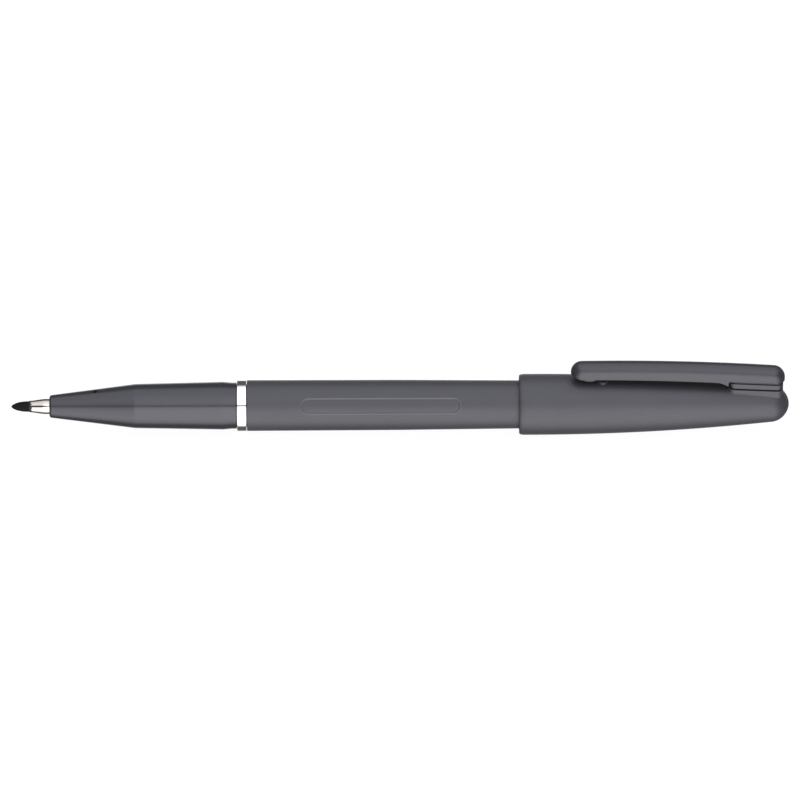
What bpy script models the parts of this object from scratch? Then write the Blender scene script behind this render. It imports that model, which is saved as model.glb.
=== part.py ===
"""Fibre-tip lettering pen, lying down with its cap posted on the tail and the clip on top.

The pen's axis runs along X, from the nib at -X to the closed end of the cap at +X.
The origin is on the desk, straight below the middle of the pen's length.
"""

import math

import bmesh
import bpy
from mathutils import Matrix, Vector

MM = 0.001

# Facets of the large and the small round pieces. The large ones are wide enough to rest on.
SEGMENTS = 24
FINE_SEGMENTS = 20
HALF_FACET = math.pi / SEGMENTS

# Lengths along the axis, from the tip of the nib to the closed end of the cap.
PEN_LENGTH = 155.5 * MM
NIB_SHOWN = 3.55 * MM
SLEEVE_SHOWN = 4.10 * MM
SECTION_SHOWN = 37.45 * MM
RING_LENGTH = 1.85 * MM
BARREL_LENGTH = 83.0 * MM
PLUG_HEAD = 1.5 * MM
CAP_LENGTH = 53.95 * MM
SEAM = 0.1 * MM

# Stations along X.
NIB_TIP = -PEN_LENGTH / 2
SLEEVE_FRONT = NIB_TIP + NIB_SHOWN
NOSE_LIP = SLEEVE_FRONT + SLEEVE_SHOWN
SECTION_REAR = NOSE_LIP + SECTION_SHOWN
RING_FRONT = SECTION_REAR + SEAM
RING_REAR = RING_FRONT + RING_LENGTH
BARREL_FRONT = RING_REAR + SEAM
BARREL_REAR = BARREL_FRONT + BARREL_LENGTH
TAIL = BARREL_REAR + SEAM + PLUG_HEAD
CAP_END = PEN_LENGTH / 2
CAP_MOUTH = CAP_END - CAP_LENGTH

# Nib, its metal sleeve and the holder behind it.
NIB_RADIUS = 1.05 * MM
NIB_STEM_RADIUS = 0.85 * MM
NIB_STEM_REAR = NIB_TIP + 31.7 * MM
SLEEVE_FRONT_RADIUS = 1.06 * MM
SLEEVE_RADIUS = 1.53 * MM
SLEEVE_TAPER = 2.95 * MM
SLEEVE_BORE = 0.95 * MM
SLEEVE_REAR = NOSE_LIP + 7.1 * MM
HOLDER_FRONT = NOSE_LIP + 11.6 * MM
HOLDER_REAR = HOLDER_FRONT + 6.4 * MM
HOLDER_HUB = 1.45 * MM
HOLDER_BORE = 1.0 * MM
HOLDER_FINS = 4
FIN_THICKNESS = 0.5 * MM
FIN_CLEARANCE = 0.15 * MM

# Section: the nose cone and grip in one moulding, with a spigot into the barrel.
LIP_RADIUS = 1.9 * MM
NOSE_RADIUS = 2.29 * MM
NOSE_END = NOSE_LIP + 17.1 * MM
GRIP_START = NOSE_LIP + 19.1 * MM
GRIP_START_RADIUS = 4.47 * MM
GRIP_RADIUS = 4.785 * MM
GRIP_END = SECTION_REAR - 2.7 * MM
RELIEF_START = SECTION_REAR - 1.0 * MM
RELIEF_RADIUS = 4.63 * MM
SPIGOT_RADIUS = 4.2 * MM
SPIGOT_REAR = SECTION_REAR + 10.0 * MM
SLEEVE_SEAT = 1.63 * MM
CHAMBER_FRONT = NOSE_LIP + 7.3 * MM
CHAMBER_FRONT_RADIUS = 1.9 * MM
CHAMBER_REAR = NOSE_LIP + 18.1 * MM
CORE_BORE = 3.6 * MM
VENT_X = NOSE_LIP + 9.15 * MM
VENT_RADIUS = 0.5 * MM
VENT_TURN = math.radians(-6)

# Trim ring and barrel.
RING_RADIUS = 5.15 * MM
RING_EDGE = 0.08 * MM
BARREL_RADIUS = 5.08 * MM
BARREL_WAIST = (0.0, 5.02 * MM)
BARREL_AT_CAP_MOUTH = 4.82 * MM
BARREL_TAIL_RADIUS = 4.40 * MM
BARREL_EDGE = 0.12 * MM
BARREL_BORE = 3.8 * MM
SOCKET_RADIUS = 4.3 * MM
SOCKET_DEPTH = 10.8 * MM

# Recessed oval panel on the barrel, turned towards the reader.
BADGE_X = -3.8 * MM
BADGE_LENGTH = 32.0 * MM
BADGE_WIDTH = 3.14 * MM
BADGE_DEPTH = 0.15 * MM
BADGE_TURN = math.radians(58)

# Ink core with its film wrap, and the plug behind it.
CORE_RADIUS = 3.15 * MM
CORE_FRONT = NOSE_LIP + 19.1 * MM
CORE_REAR = 46.3 * MM
CORE_SOCKET_RADIUS = 1.05 * MM
CORE_SOCKET_DEPTH = 5.6 * MM
FILM_INNER = 3.30 * MM
FILM_OUTER = 3.42 * MM
FILM_INSET = 0.4 * MM
PLUG_HEAD_RADIUS = 4.36 * MM
PLUG_HEAD_ROUND = 0.5 * MM
PLUG_RADIUS = 3.68 * MM
PLUG_FRONT = 47.0 * MM
PLUG_BORE = 2.9 * MM
PLUG_BORE_DEPTH = 4.6 * MM
DIMPLE_RADIUS = 1.5 * MM
DIMPLE_DEPTH = 0.4 * MM

# Cap: a straight mouth, a long taper that follows a parabola, and a domed end.
CAP_RADIUS = 6.1 * MM
CAP_MOUTH_ROUND = 1.1 * MM
CAP_RIM_RADIUS = 5.75 * MM
CAP_STRAIGHT = 3.0 * MM
CAP_TAPER = 47.65 * MM
CAP_DROP = 2.4 * MM
CAP_DOME = CAP_LENGTH - CAP_STRAIGHT - CAP_TAPER
CAP_WALL = 0.85 * MM
CAP_WALL_INSIDE = 0.74 * MM
CAP_FLOOR = 1.6 * MM
CAP_BORE_LEAD = 0.15 * MM
RIB_COUNT = 6
RIB_FROM = 4.0 * MM
RIB_TO = 24.0 * MM
RIB_WIDTH = 0.8 * MM
RIB_CLEARANCE = 0.08 * MM

# Inner cap that seals the nib.
LINER_FRONT = 32.6 * MM
LINER_SEAL = 3.05 * MM
LINER_BORE = 3.4 * MM
LINER_WAIST = (42.0 * MM, 3.05 * MM)
LINER_BOTTOM = (48.5 * MM, 2.3 * MM)
LINER_FLOOR = 49.6 * MM
LINER_REAR = 50.4 * MM
LINER_CLEARANCE = 0.1 * MM

# Clip: a bar with a half-round back, bowed over the cap, on a foot at the closed end.
CLIP_TIP = 34.1 * MM
CLIP_END = 76.85 * MM
CLIP_HALF_WIDTH = 2.16 * MM
CLIP_HEIGHT = 7.95 * MM
CLIP_CREST = 42.0 * MM
CLIP_BOW = 1.22 * MM / (32.4 * MM) ** 2
CLIP_SIDE_AT_TIP = 0.72 * MM
CLIP_SIDE_AT_ROOT = 1.10 * MM
CLIP_STATIONS = 14
END_STATIONS = 5
BACK_POINTS = 8
CLIP_SPLIT = 65.0 * MM
SPLIT_GAP = 0.2 * MM
PIVOT_HEIGHT = 7.87 * MM
FOOT_FRONT = 65.75 * MM
FOOT_REAR = 76.75 * MM
FOOT_TOP = (6.21 * MM, 5.96 * MM)
FOOT_BOTTOM = (4.92 * MM, 4.42 * MM)
GROOVE = 0.2 * MM
FOOT_GAP = 0.12 * MM
BOSS_SUNK = 0.15 * MM
BOSS_UNDERCUT = 0.6 * MM
BUMP_X = 37.85 * MM
BUMP_SIZE = (1.25 * MM, 1.3 * MM)
BUMP_CLEARANCE = 0.12 * MM
NUB_X = 40.5 * MM
NUB_SIZE = (0.95 * MM, 1.5 * MM)
NUB_HEIGHT = 0.35 * MM
NUB_SUNK = 0.1 * MM

# Where the three pieces that carry the clip have their origins, as (x, distance from the pen's axis).
CAP_ORIGIN = (CAP_MOUTH, 0.0)
SEAT_ORIGIN = (FOOT_FRONT, 0.0)
PIVOT_ORIGIN = (CLIP_SPLIT, PIVOT_HEIGHT)

AXIS_HEIGHT = CAP_RADIUS * math.cos(HALF_FACET)


def clear_scene():
    for obj in list(bpy.data.objects):
        bpy.data.objects.remove(obj, do_unlink=True)


def empty_at(name, location, parent=None):
    obj = bpy.data.objects.new(name, None)
    obj.empty_display_size = 5 * MM
    bpy.context.scene.collection.objects.link(obj)
    obj.parent = parent
    obj.location = location
    return obj


def plastic(name, color, roughness, metallic=0.0):
    """A Principled material. Colours are linear."""
    made = bpy.data.materials.new(name)
    made.use_nodes = True
    shader = made.node_tree.nodes["Principled BSDF"]
    shader.inputs["Base Color"].default_value = (*color, 1.0)
    shader.inputs["Roughness"].default_value = roughness
    shader.inputs["Metallic"].default_value = metallic
    return made


def object_from(name, bm, material, parent):
    """An object at its parent's origin, from a bmesh with its normals facing out."""
    bmesh.ops.recalc_face_normals(bm, faces=bm.faces)
    mesh = bpy.data.meshes.new(name)
    bm.to_mesh(mesh)
    bm.free()
    mesh.shade_smooth()
    mesh.set_sharp_from_angle(angle=math.radians(30))
    obj = bpy.data.objects.new(name, mesh)
    bpy.context.scene.collection.objects.link(obj)
    obj.parent = parent
    if material is None:
        obj.hide_render = True
        obj.display_type = "WIRE"
    else:
        mesh.materials.append(material)
    return obj


def turned(name, outline, material, parent, segments=SEGMENTS):
    """A piece turned about the X axis, with a facet facing straight down.

    The outline is a closed loop of (x, radius) points, and two of them may be on the axis.
    """
    bm = bmesh.new()
    start = math.pi / segments
    verts = [
        bm.verts.new((x, -r * math.sin(start), r * math.cos(start))) for x, r in outline
    ]
    on_axis = [r == 0 for _, r in outline]
    edges = []
    for i, vert in enumerate(verts):
        following = (i + 1) % len(verts)
        if not (on_axis[i] and on_axis[following]):
            edges.append(bm.edges.new((vert, verts[following])))
    bmesh.ops.spin(
        bm,
        geom=verts + edges,
        cent=(0, 0, 0),
        axis=(1, 0, 0),
        angle=2 * math.pi,
        steps=segments,
        use_merge=True,
    )
    bmesh.ops.remove_doubles(bm, verts=bm.verts, dist=0.001 * MM)
    return object_from(name, bm, material, parent)


def boolean(obj, other, operation):
    modifier = obj.modifiers.new(other.name, "BOOLEAN")
    modifier.object = other
    modifier.operation = operation
    modifier.solver = "EXACT"


def stadium(front, rear, half_width, points=9):
    """Corners (x, y) of a slot outline along X with round ends, anticlockwise seen from above."""
    corners = []
    for center, first in ((rear - half_width, -90), (front + half_width, 90)):
        for i in range(points):
            angle = math.radians(first + 180 * i / (points - 1))
            corners.append(
                (
                    center + half_width * math.cos(angle),
                    half_width * math.sin(angle),
                )
            )
    return corners


def loft(name, rings, material, parent):
    """A closed body through rings of equally many points, with a flat face at both ends."""
    bm = bmesh.new()
    rows = [[bm.verts.new(point) for point in ring] for ring in rings]
    for row, following in zip(rows, rows[1:]):
        for i in range(len(row)):
            j = (i + 1) % len(row)
            bm.faces.new((row[i], row[j], following[j], following[i]))
    bm.faces.new(rows[0])
    bm.faces.new(rows[-1])
    bmesh.ops.remove_doubles(bm, verts=bm.verts, dist=0.001 * MM)
    return object_from(name, bm, material, parent)


def dome(name, center, half_length, half_width, height, parent):
    """An ellipsoid to be joined to another piece."""
    bm = bmesh.new()
    bmesh.ops.create_uvsphere(bm, u_segments=16, v_segments=8, radius=1)
    bmesh.ops.scale(bm, vec=(half_length, half_width, height), verts=bm.verts)
    bmesh.ops.translate(bm, vec=center, verts=bm.verts)
    return object_from(name, bm, None, parent)


def along(start, end, share):
    return start + (end - start) * share


def barrel_radius(x):
    """Outer radius of the barrel: straight, then tapering to the tail."""
    stops = (
        (BARREL_FRONT, BARREL_RADIUS),
        BARREL_WAIST,
        (CAP_MOUTH, BARREL_AT_CAP_MOUTH),
        (BARREL_REAR, BARREL_TAIL_RADIUS),
    )
    for (x0, r0), (x1, r1) in zip(stops, stops[1:]):
        if x <= x1:
            return along(r0, r1, (x - x0) / (x1 - x0))
    return BARREL_TAIL_RADIUS


def chamber_radius(x):
    """Radius of the conical air chamber in the nose."""
    share = (x - CHAMBER_FRONT) / (CHAMBER_REAR - CHAMBER_FRONT)
    return along(CHAMBER_FRONT_RADIUS, CORE_BORE, share)


def cap_radius(depth):
    """Outer radius of the cap at a depth from its mouth, up to where the dome starts."""
    share = max(0.0, depth - CAP_STRAIGHT) / CAP_TAPER
    return CAP_RADIUS - CAP_DROP * share**2


def cap_bore(depth):
    """Inner radius of the cap: its wall thins from the mouth to the posted tail."""
    wall = along(CAP_WALL, CAP_WALL_INSIDE, min(1.0, depth / LINER_FRONT))
    return cap_radius(depth) - wall


def clip_back(x):
    """Distance from the pen's axis to the middle of the half-round back of the clip."""
    return CLIP_HEIGHT - CLIP_BOW * (x - CLIP_CREST) ** 2


def clip_side(x):
    """Height of the clip's straight side below its half-round back."""
    share = (x - CLIP_TIP) / (FOOT_FRONT - CLIP_TIP)
    return along(CLIP_SIDE_AT_TIP, CLIP_SIDE_AT_ROOT, min(1.0, share))


def make_nib(material, parent):
    """Pressed fibre nib: a bullet point on a long stem that reaches into the ink core."""
    base = SLEEVE_FRONT - SEAM / 2
    outline = [(NIB_TIP, 0.0)]
    for i in range(1, 9):
        share = (i / 8) ** 1.5
        radius = NIB_RADIUS * (1 - (1 - share) ** 2.4) ** 0.65
        outline.append((along(NIB_TIP, base, share), radius))
    outline += [
        (base, NIB_STEM_RADIUS),
        (NIB_STEM_REAR, NIB_STEM_RADIUS),
        (NIB_STEM_REAR, 0.0),
    ]
    return turned("nib", outline, material, parent, FINE_SEGMENTS)


def make_nib_sleeve(material, parent):
    """Drawn metal sleeve that grips the nib, tapered where it leaves the nose."""
    outline = [
        (SLEEVE_FRONT, SLEEVE_BORE),
        (SLEEVE_FRONT, SLEEVE_FRONT_RADIUS),
        (SLEEVE_FRONT + SLEEVE_TAPER, SLEEVE_RADIUS),
        (SLEEVE_REAR, SLEEVE_RADIUS),
        (SLEEVE_REAR, SLEEVE_BORE),
    ]
    return turned("nib_sleeve", outline, material, parent, FINE_SEGMENTS)


def make_nib_holder(material, parent):
    """Hub round the nib's stem, on fins that leave room for air to pass."""
    hub = turned(
        "nib_holder",
        [
            (HOLDER_FRONT, HOLDER_BORE),
            (HOLDER_FRONT, HOLDER_HUB),
            (HOLDER_REAR, HOLDER_HUB),
            (HOLDER_REAR, HOLDER_BORE),
        ],
        material,
        parent,
        FINE_SEGMENTS,
    )
    inset = 0.2 * MM
    root = (HOLDER_BORE + HOLDER_HUB) / 2
    front, rear = HOLDER_FRONT + inset, HOLDER_REAR - inset
    edge = (
        (front, root),
        (rear, root),
        (rear, chamber_radius(rear) - FIN_CLEARANCE),
        (front, chamber_radius(front) - FIN_CLEARANCE),
    )
    for i in range(HOLDER_FINS):
        turn = Matrix.Rotation(2 * math.pi * i / HOLDER_FINS, 3, "X")
        rings = [
            [turn @ Vector((x, side * FIN_THICKNESS / 2, r)) for x, r in edge]
            for side in (-1, 1)
        ]
        boolean(hub, loft(f"holder_fin_{i}", rings, None, parent), "UNION")
    return hub


def make_section(material, parent):
    """Nose cone and grip, with the spigot that carries the ring and enters the barrel."""
    lip_round = 0.5 * MM
    outline = [(NOSE_LIP, SLEEVE_SEAT)]
    for i in range(4):
        angle = math.radians(30 * i)
        outline.append(
            (
                NOSE_LIP + lip_round * (1 - math.cos(angle)),
                along(LIP_RADIUS, NOSE_RADIUS, math.sin(angle)),
            )
        )
    outline += [
        (NOSE_END, GRIP_START_RADIUS - 0.05 * MM),
        (GRIP_START, GRIP_START_RADIUS),
        (GRIP_END, GRIP_RADIUS),
        (RELIEF_START, RELIEF_RADIUS),
        (SECTION_REAR, RELIEF_RADIUS),
        (SECTION_REAR, SPIGOT_RADIUS),
        (SPIGOT_REAR, SPIGOT_RADIUS),
        (SPIGOT_REAR, CORE_BORE),
        (CHAMBER_REAR, CORE_BORE),
        (CHAMBER_FRONT, CHAMBER_FRONT_RADIUS),
        (CHAMBER_FRONT, SLEEVE_SEAT),
    ]
    section = turned("section", outline, material, parent)
    drill_turn = Matrix.Rotation(VENT_TURN, 3, "X")
    circle = [
        (VENT_RADIUS * math.cos(a), VENT_RADIUS * math.sin(a))
        for a in (2 * math.pi * i / 12 for i in range(12))
    ]
    rings = [
        [drill_turn @ Vector((VENT_X + x, y, z)) for x, y in circle]
        for z in (SLEEVE_SEAT, GRIP_RADIUS)
    ]
    boolean(section, loft("vent_drill", rings, None, parent), "DIFFERENCE")
    return section


def make_trim_ring(material, parent):
    outline = [
        (RING_FRONT, SOCKET_RADIUS),
        (RING_FRONT, RING_RADIUS - RING_EDGE),
        (RING_FRONT + RING_EDGE, RING_RADIUS),
        (RING_REAR - RING_EDGE, RING_RADIUS),
        (RING_REAR, RING_RADIUS - RING_EDGE),
        (RING_REAR, SOCKET_RADIUS),
    ]
    return turned("trim_ring", outline, material, parent)


def badge_cutter(parent):
    """The space of the oval panel, whose floor runs parallel to the barrel's surface."""
    front = BADGE_X - BADGE_LENGTH / 2
    rear = BADGE_X + BADGE_LENGTH / 2
    margin = 1.0 * MM
    clear = BARREL_RADIUS + margin
    floor = [
        (x, barrel_radius(x) - BADGE_DEPTH)
        for x in (front - margin, BARREL_WAIST[0], rear + margin)
    ]
    outline = floor + [(rear + margin, clear), (front - margin, clear)]
    cutter = turned("badge_cutter", outline, None, parent)
    turn = Matrix.Rotation(BADGE_TURN, 3, "X")
    slot = stadium(front, rear, BADGE_WIDTH / 2)
    rings = [
        [turn @ Vector((x, y, z)) for x, y in slot]
        for z in (BARREL_BORE, clear + margin)
    ]
    boolean(cutter, loft("badge_outline", rings, None, parent), "INTERSECT")
    return cutter


def make_barrel(material, parent):
    """Tube with a wider socket for the section's spigot and a recessed oval panel."""
    socket_rear = BARREL_FRONT + SOCKET_DEPTH
    outline = [
        (BARREL_FRONT, SOCKET_RADIUS),
        (BARREL_FRONT, BARREL_RADIUS - BARREL_EDGE),
        (BARREL_FRONT + BARREL_EDGE, BARREL_RADIUS),
        BARREL_WAIST,
        (CAP_MOUTH, BARREL_AT_CAP_MOUTH),
        (BARREL_REAR, BARREL_TAIL_RADIUS),
        (BARREL_REAR, BARREL_BORE),
        (socket_rear, BARREL_BORE),
        (socket_rear, SOCKET_RADIUS),
    ]
    barrel = turned("barrel", outline, material, parent)
    boolean(barrel, badge_cutter(parent), "DIFFERENCE")
    return barrel


def make_tail_plug(material, parent):
    """Plug that closes the barrel, with a flat end face round a small dimple."""
    head_front = TAIL - PLUG_HEAD
    outline = [
        (PLUG_FRONT, PLUG_BORE),
        (PLUG_FRONT, PLUG_RADIUS),
        (head_front, PLUG_RADIUS),
        (head_front, PLUG_HEAD_RADIUS),
    ]
    for i in range(4):
        angle = math.radians(30 * i)
        outline.append(
            (
                TAIL - PLUG_HEAD_ROUND * (1 - math.sin(angle)),
                PLUG_HEAD_RADIUS - PLUG_HEAD_ROUND * (1 - math.cos(angle)),
            )
        )
    outline += [
        (TAIL, DIMPLE_RADIUS),
        (TAIL - DIMPLE_DEPTH, DIMPLE_RADIUS / 2),
        (TAIL - DIMPLE_DEPTH, 0.0),
        (PLUG_FRONT + PLUG_BORE_DEPTH, 0.0),
        (PLUG_FRONT + PLUG_BORE_DEPTH, PLUG_BORE),
    ]
    return turned("tail_plug", outline, material, parent)


def make_ink_core(material, parent):
    socket_rear = CORE_FRONT + CORE_SOCKET_DEPTH
    outline = [
        (CORE_FRONT, CORE_SOCKET_RADIUS),
        (CORE_FRONT, CORE_RADIUS),
        (CORE_REAR, CORE_RADIUS),
        (CORE_REAR, 0.0),
        (socket_rear, 0.0),
        (socket_rear, CORE_SOCKET_RADIUS),
    ]
    return turned("ink_core", outline, material, parent, FINE_SEGMENTS)


def make_core_film(material, parent):
    front, rear = CORE_FRONT + FILM_INSET, CORE_REAR - FILM_INSET
    outline = [
        (front, FILM_INNER),
        (front, FILM_OUTER),
        (rear, FILM_OUTER),
        (rear, FILM_INNER),
    ]
    return turned("core_film", outline, material, parent)


def make_cap_shell(material, parent):
    """Tapered shell with a domed end, ribs inside, a boss for the clip and a nub by its bump."""
    outline = [(0.0, cap_bore(0) + CAP_BORE_LEAD), (0.0, CAP_RIM_RADIUS)]
    for i in range(1, 4):
        angle = math.radians(30 * i)
        outline.append(
            (
                CAP_MOUTH_ROUND * (1 - math.cos(angle)),
                along(CAP_RIM_RADIUS, CAP_RADIUS, math.sin(angle)),
            )
        )
    steps = 10
    for i in range(steps + 1):
        depth = CAP_STRAIGHT + CAP_TAPER * i / steps
        outline.append((depth, cap_radius(depth)))
    dome_start = CAP_STRAIGHT + CAP_TAPER
    end_slope = 2 * CAP_DROP / CAP_TAPER
    for i in range(1, 7):
        share = math.sin(math.radians(15 * i))
        depth = dome_start + CAP_DOME * share
        radius = (cap_radius(dome_start) - end_slope * CAP_DOME * share) * math.sqrt(
            1 - min(1.0, share) ** 2
        )
        outline.append((depth, radius if i < 6 else 0.0))
    floor = CAP_LENGTH - CAP_FLOOR
    outline += [(floor, 0.0), (floor, cap_bore(dome_start) * 0.7)]
    for i in range(steps, 0, -1):
        depth = dome_start * i / steps
        outline.append((depth, cap_bore(depth)))
    outline.append((CAP_BORE_LEAD, cap_bore(0)))
    shell = turned("cap_shell", outline, material, parent)
    for i in range(RIB_COUNT):
        boolean(shell, grip_rib(i, parent), "UNION")
    boolean(shell, clip_boss(parent), "UNION")
    nub_depth = NUB_X - CAP_MOUTH
    nub_center = (nub_depth, 0, cap_radius(nub_depth) - NUB_SUNK)
    nub = dome("clip_nub", nub_center, *NUB_SIZE, NUB_HEIGHT + NUB_SUNK, parent)
    boolean(shell, nub, "UNION")
    return shell


def grip_rib(index, parent):
    """A rib inside the cap's mouth that stops just short of the posted barrel."""
    turn = Matrix.Rotation(2 * math.pi * (index + 0.5) / RIB_COUNT, 3, "X")
    half = RIB_WIDTH / 2
    rings = []
    for depth in (RIB_FROM, RIB_TO):
        crest = barrel_radius(CAP_MOUTH + depth) + RIB_CLEARANCE
        root = cap_bore(depth) + CAP_WALL / 2
        rings.append(
            [
                turn @ Vector((depth, y, z))
                for y, z in ((-half, root), (half, root), (half, crest), (-half, crest))
            ]
        )
    return loft(f"grip_rib_{index}", rings, None, parent)


def foot_level(level, x):
    """Distance from the axis of a sloping level of the clip's foot, given at its front and rear."""
    share = (x - FOOT_FRONT) / (FOOT_REAR - FOOT_FRONT)
    return along(level[0], level[1], share)


def foot_outline(inset):
    """Corners of the foot's outline seen from above, inset all round."""
    return stadium(FOOT_FRONT + inset, FOOT_REAR - inset, CLIP_HALF_WIDTH - inset, 7)


def foot_ring(level, offset, inset, origin):
    """The foot's outline on a sloping level, offset outwards from the axis."""
    return [
        Vector((x - origin[0], y, foot_level(level, x) + offset - origin[1]))
        for x, y in foot_outline(inset)
    ]


def boss_ring(inset, sunk):
    """The foot's outline inside the cap's wall, at a distance outside its bore."""
    return [
        Vector((x - CAP_MOUTH, y, cap_bore(x - CAP_MOUTH) + sunk))
        for x, y in foot_outline(inset)
    ]


def clip_boss(parent):
    """Raised pad on the cap under the clip's foot, rooted in the cap's wall."""
    root = boss_ring(BOSS_UNDERCUT, BOSS_SUNK)
    low = boss_ring(0.0, 2 * BOSS_SUNK)
    chamfer = foot_ring(FOOT_BOTTOM, -GROOVE - FOOT_GAP / 2, 0.0, CAP_ORIGIN)
    top = foot_ring(FOOT_BOTTOM, -FOOT_GAP / 2, GROOVE, CAP_ORIGIN)
    return loft("clip_boss", [root, low, chamfer, top], None, parent)


def clip_ring(x, half_width, origin):
    """Section of the clip at x: a half-round back over two straight sides and a flat underside."""
    back, side = clip_back(x), clip_side(x)
    points = []
    for i in range(BACK_POINTS + 1):
        angle = math.pi * i / BACK_POINTS
        points.append((half_width * math.cos(angle), back + half_width * math.sin(angle)))
    points += [(-half_width, back - side), (half_width, back - side)]
    return [Vector((x - origin[0], y, z - origin[1])) for y, z in points]


def clip_bar(name, front, rear, round_front, round_rear, material, parent, origin):
    """A length of the clip's bar. A round end is a quarter ball, seen from above a half circle."""
    radius = CLIP_HALF_WIDTH
    start = front + radius if round_front else front
    stop = rear - radius if round_rear else rear
    rings = []
    smallest = 0.06 * radius
    if round_front:
        for i in range(END_STATIONS):
            angle = math.pi / 2 * i / END_STATIONS
            width = max(smallest, radius * math.sin(angle))
            rings.append(clip_ring(start - radius * math.cos(angle), width, origin))
    for i in range(CLIP_STATIONS + 1):
        rings.append(clip_ring(along(start, stop, i / CLIP_STATIONS), radius, origin))
    if round_rear:
        for i in range(END_STATIONS - 1, -1, -1):
            angle = math.pi / 2 * i / END_STATIONS
            width = max(smallest, radius * math.sin(angle))
            rings.append(clip_ring(stop + radius * math.cos(angle), width, origin))
    return loft(name, rings, material, parent)


def make_clip_arm(material, parent):
    """The springing part of the clip, with the bump that presses on the cap."""
    rear = CLIP_SPLIT - SPLIT_GAP / 2
    arm = clip_bar(
        "clip_arm", CLIP_TIP, rear, True, False, material, parent, PIVOT_ORIGIN
    )
    underside = clip_back(BUMP_X) - clip_side(BUMP_X)
    reach = underside - cap_radius(BUMP_X - CAP_MOUTH) - BUMP_CLEARANCE
    sunk = 0.1 * MM
    center = (BUMP_X - CLIP_SPLIT, 0, underside + sunk - PIVOT_HEIGHT)
    boolean(arm, dome("clip_bump", center, *BUMP_SIZE, reach + sunk, parent), "UNION")
    return arm


def make_clip_root(material, parent):
    """The part of the clip above its foot, and the foot, which stand fast on the cap's boss."""
    front = CLIP_SPLIT + SPLIT_GAP / 2
    root = clip_bar(
        "clip_root", front, CLIP_END, False, True, material, parent, SEAT_ORIGIN
    )
    foot = loft(
        "clip_foot",
        [
            foot_ring(FOOT_BOTTOM, FOOT_GAP / 2, GROOVE, SEAT_ORIGIN),
            foot_ring(FOOT_BOTTOM, FOOT_GAP / 2 + GROOVE, 0.0, SEAT_ORIGIN),
            foot_ring(FOOT_TOP, -GROOVE, 0.0, SEAT_ORIGIN),
            foot_ring(FOOT_TOP, 0.0, GROOVE, SEAT_ORIGIN),
            foot_ring(FOOT_TOP, 2 * GROOVE, GROOVE, SEAT_ORIGIN),
        ],
        None,
        parent,
    )
    boolean(root, foot, "UNION")
    return root


def make_inner_cap(material, parent):
    """Soft cup pressed into the cap, with a seal lip that closes on the section's nose."""
    waist_depth, waist_radius = LINER_WAIST
    bottom_depth, bottom_radius = LINER_BOTTOM
    outline = [
        (LINER_FRONT, LINER_SEAL),
        (LINER_FRONT, cap_bore(LINER_FRONT) - LINER_CLEARANCE),
    ]
    steps = 4
    for i in range(1, steps + 1):
        depth = along(LINER_FRONT, LINER_REAR, i / steps)
        outline.append((depth, cap_bore(depth) - LINER_CLEARANCE))
    outline += [
        (LINER_REAR, 0.0),
        (LINER_FLOOR, 0.0),
        (LINER_FLOOR, bottom_radius * 0.6),
        (bottom_depth, bottom_radius),
        (waist_depth, waist_radius),
        (LINER_FRONT + 1.0 * MM, LINER_BORE),
        (LINER_FRONT + 0.6 * MM, LINER_SEAL),
    ]
    return turned("inner_cap", outline, material, parent)


def main():
    clear_scene()
    matte = plastic("matte_grey", (0.105, 0.107, 0.120), 0.55)
    gloss = plastic("gloss_grey", (0.100, 0.101, 0.118), 0.18)
    chrome = plastic("chrome", (0.86, 0.86, 0.86), 0.08, metallic=1.0)
    steel = plastic("nib_steel", (0.80, 0.79, 0.77), 0.15, metallic=1.0)
    fibre = plastic("inked_fibre", (0.008, 0.007, 0.008), 0.75)
    white = plastic("white_fibre", (0.75, 0.74, 0.72), 0.90)
    film = plastic("clear_film", (0.80, 0.82, 0.84), 0.20)
    soft = plastic("soft_liner", (0.55, 0.56, 0.58), 0.45)

    pen_axis = empty_at("pen_axis", (0, 0, AXIS_HEIGHT))
    make_nib(fibre, pen_axis)
    make_nib_sleeve(steel, pen_axis)
    make_nib_holder(soft, pen_axis)
    make_section(gloss, pen_axis)
    make_trim_ring(chrome, pen_axis)
    make_barrel(matte, pen_axis)
    make_ink_core(white, pen_axis)
    make_core_film(film, pen_axis)
    make_tail_plug(matte, pen_axis)

    cap_axis = empty_at("cap_axis", (CAP_MOUTH, 0, 0), pen_axis)
    make_cap_shell(matte, cap_axis)
    make_inner_cap(soft, cap_axis)
    clip_seat = empty_at("clip_seat", (FOOT_FRONT - CAP_MOUTH, 0, 0), cap_axis)
    make_clip_root(gloss, clip_seat)
    pivot_place = (CLIP_SPLIT - CAP_MOUTH, 0, PIVOT_HEIGHT)
    clip_pivot = empty_at("clip_pivot", pivot_place, cap_axis)
    make_clip_arm(gloss, clip_pivot)


main()
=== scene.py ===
"""Fine surfaces, materials and studio for a fibre-tip lettering pen with its cap posted on the tail.

The pen lies along X, with the nib at -X, the closed end of the cap at +X and the clip on top.
"""

import math

import bmesh
import bpy
import numpy as np
from bpy.props import FloatProperty, FloatVectorProperty, PointerProperty
from mathutils import Matrix, Vector


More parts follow.
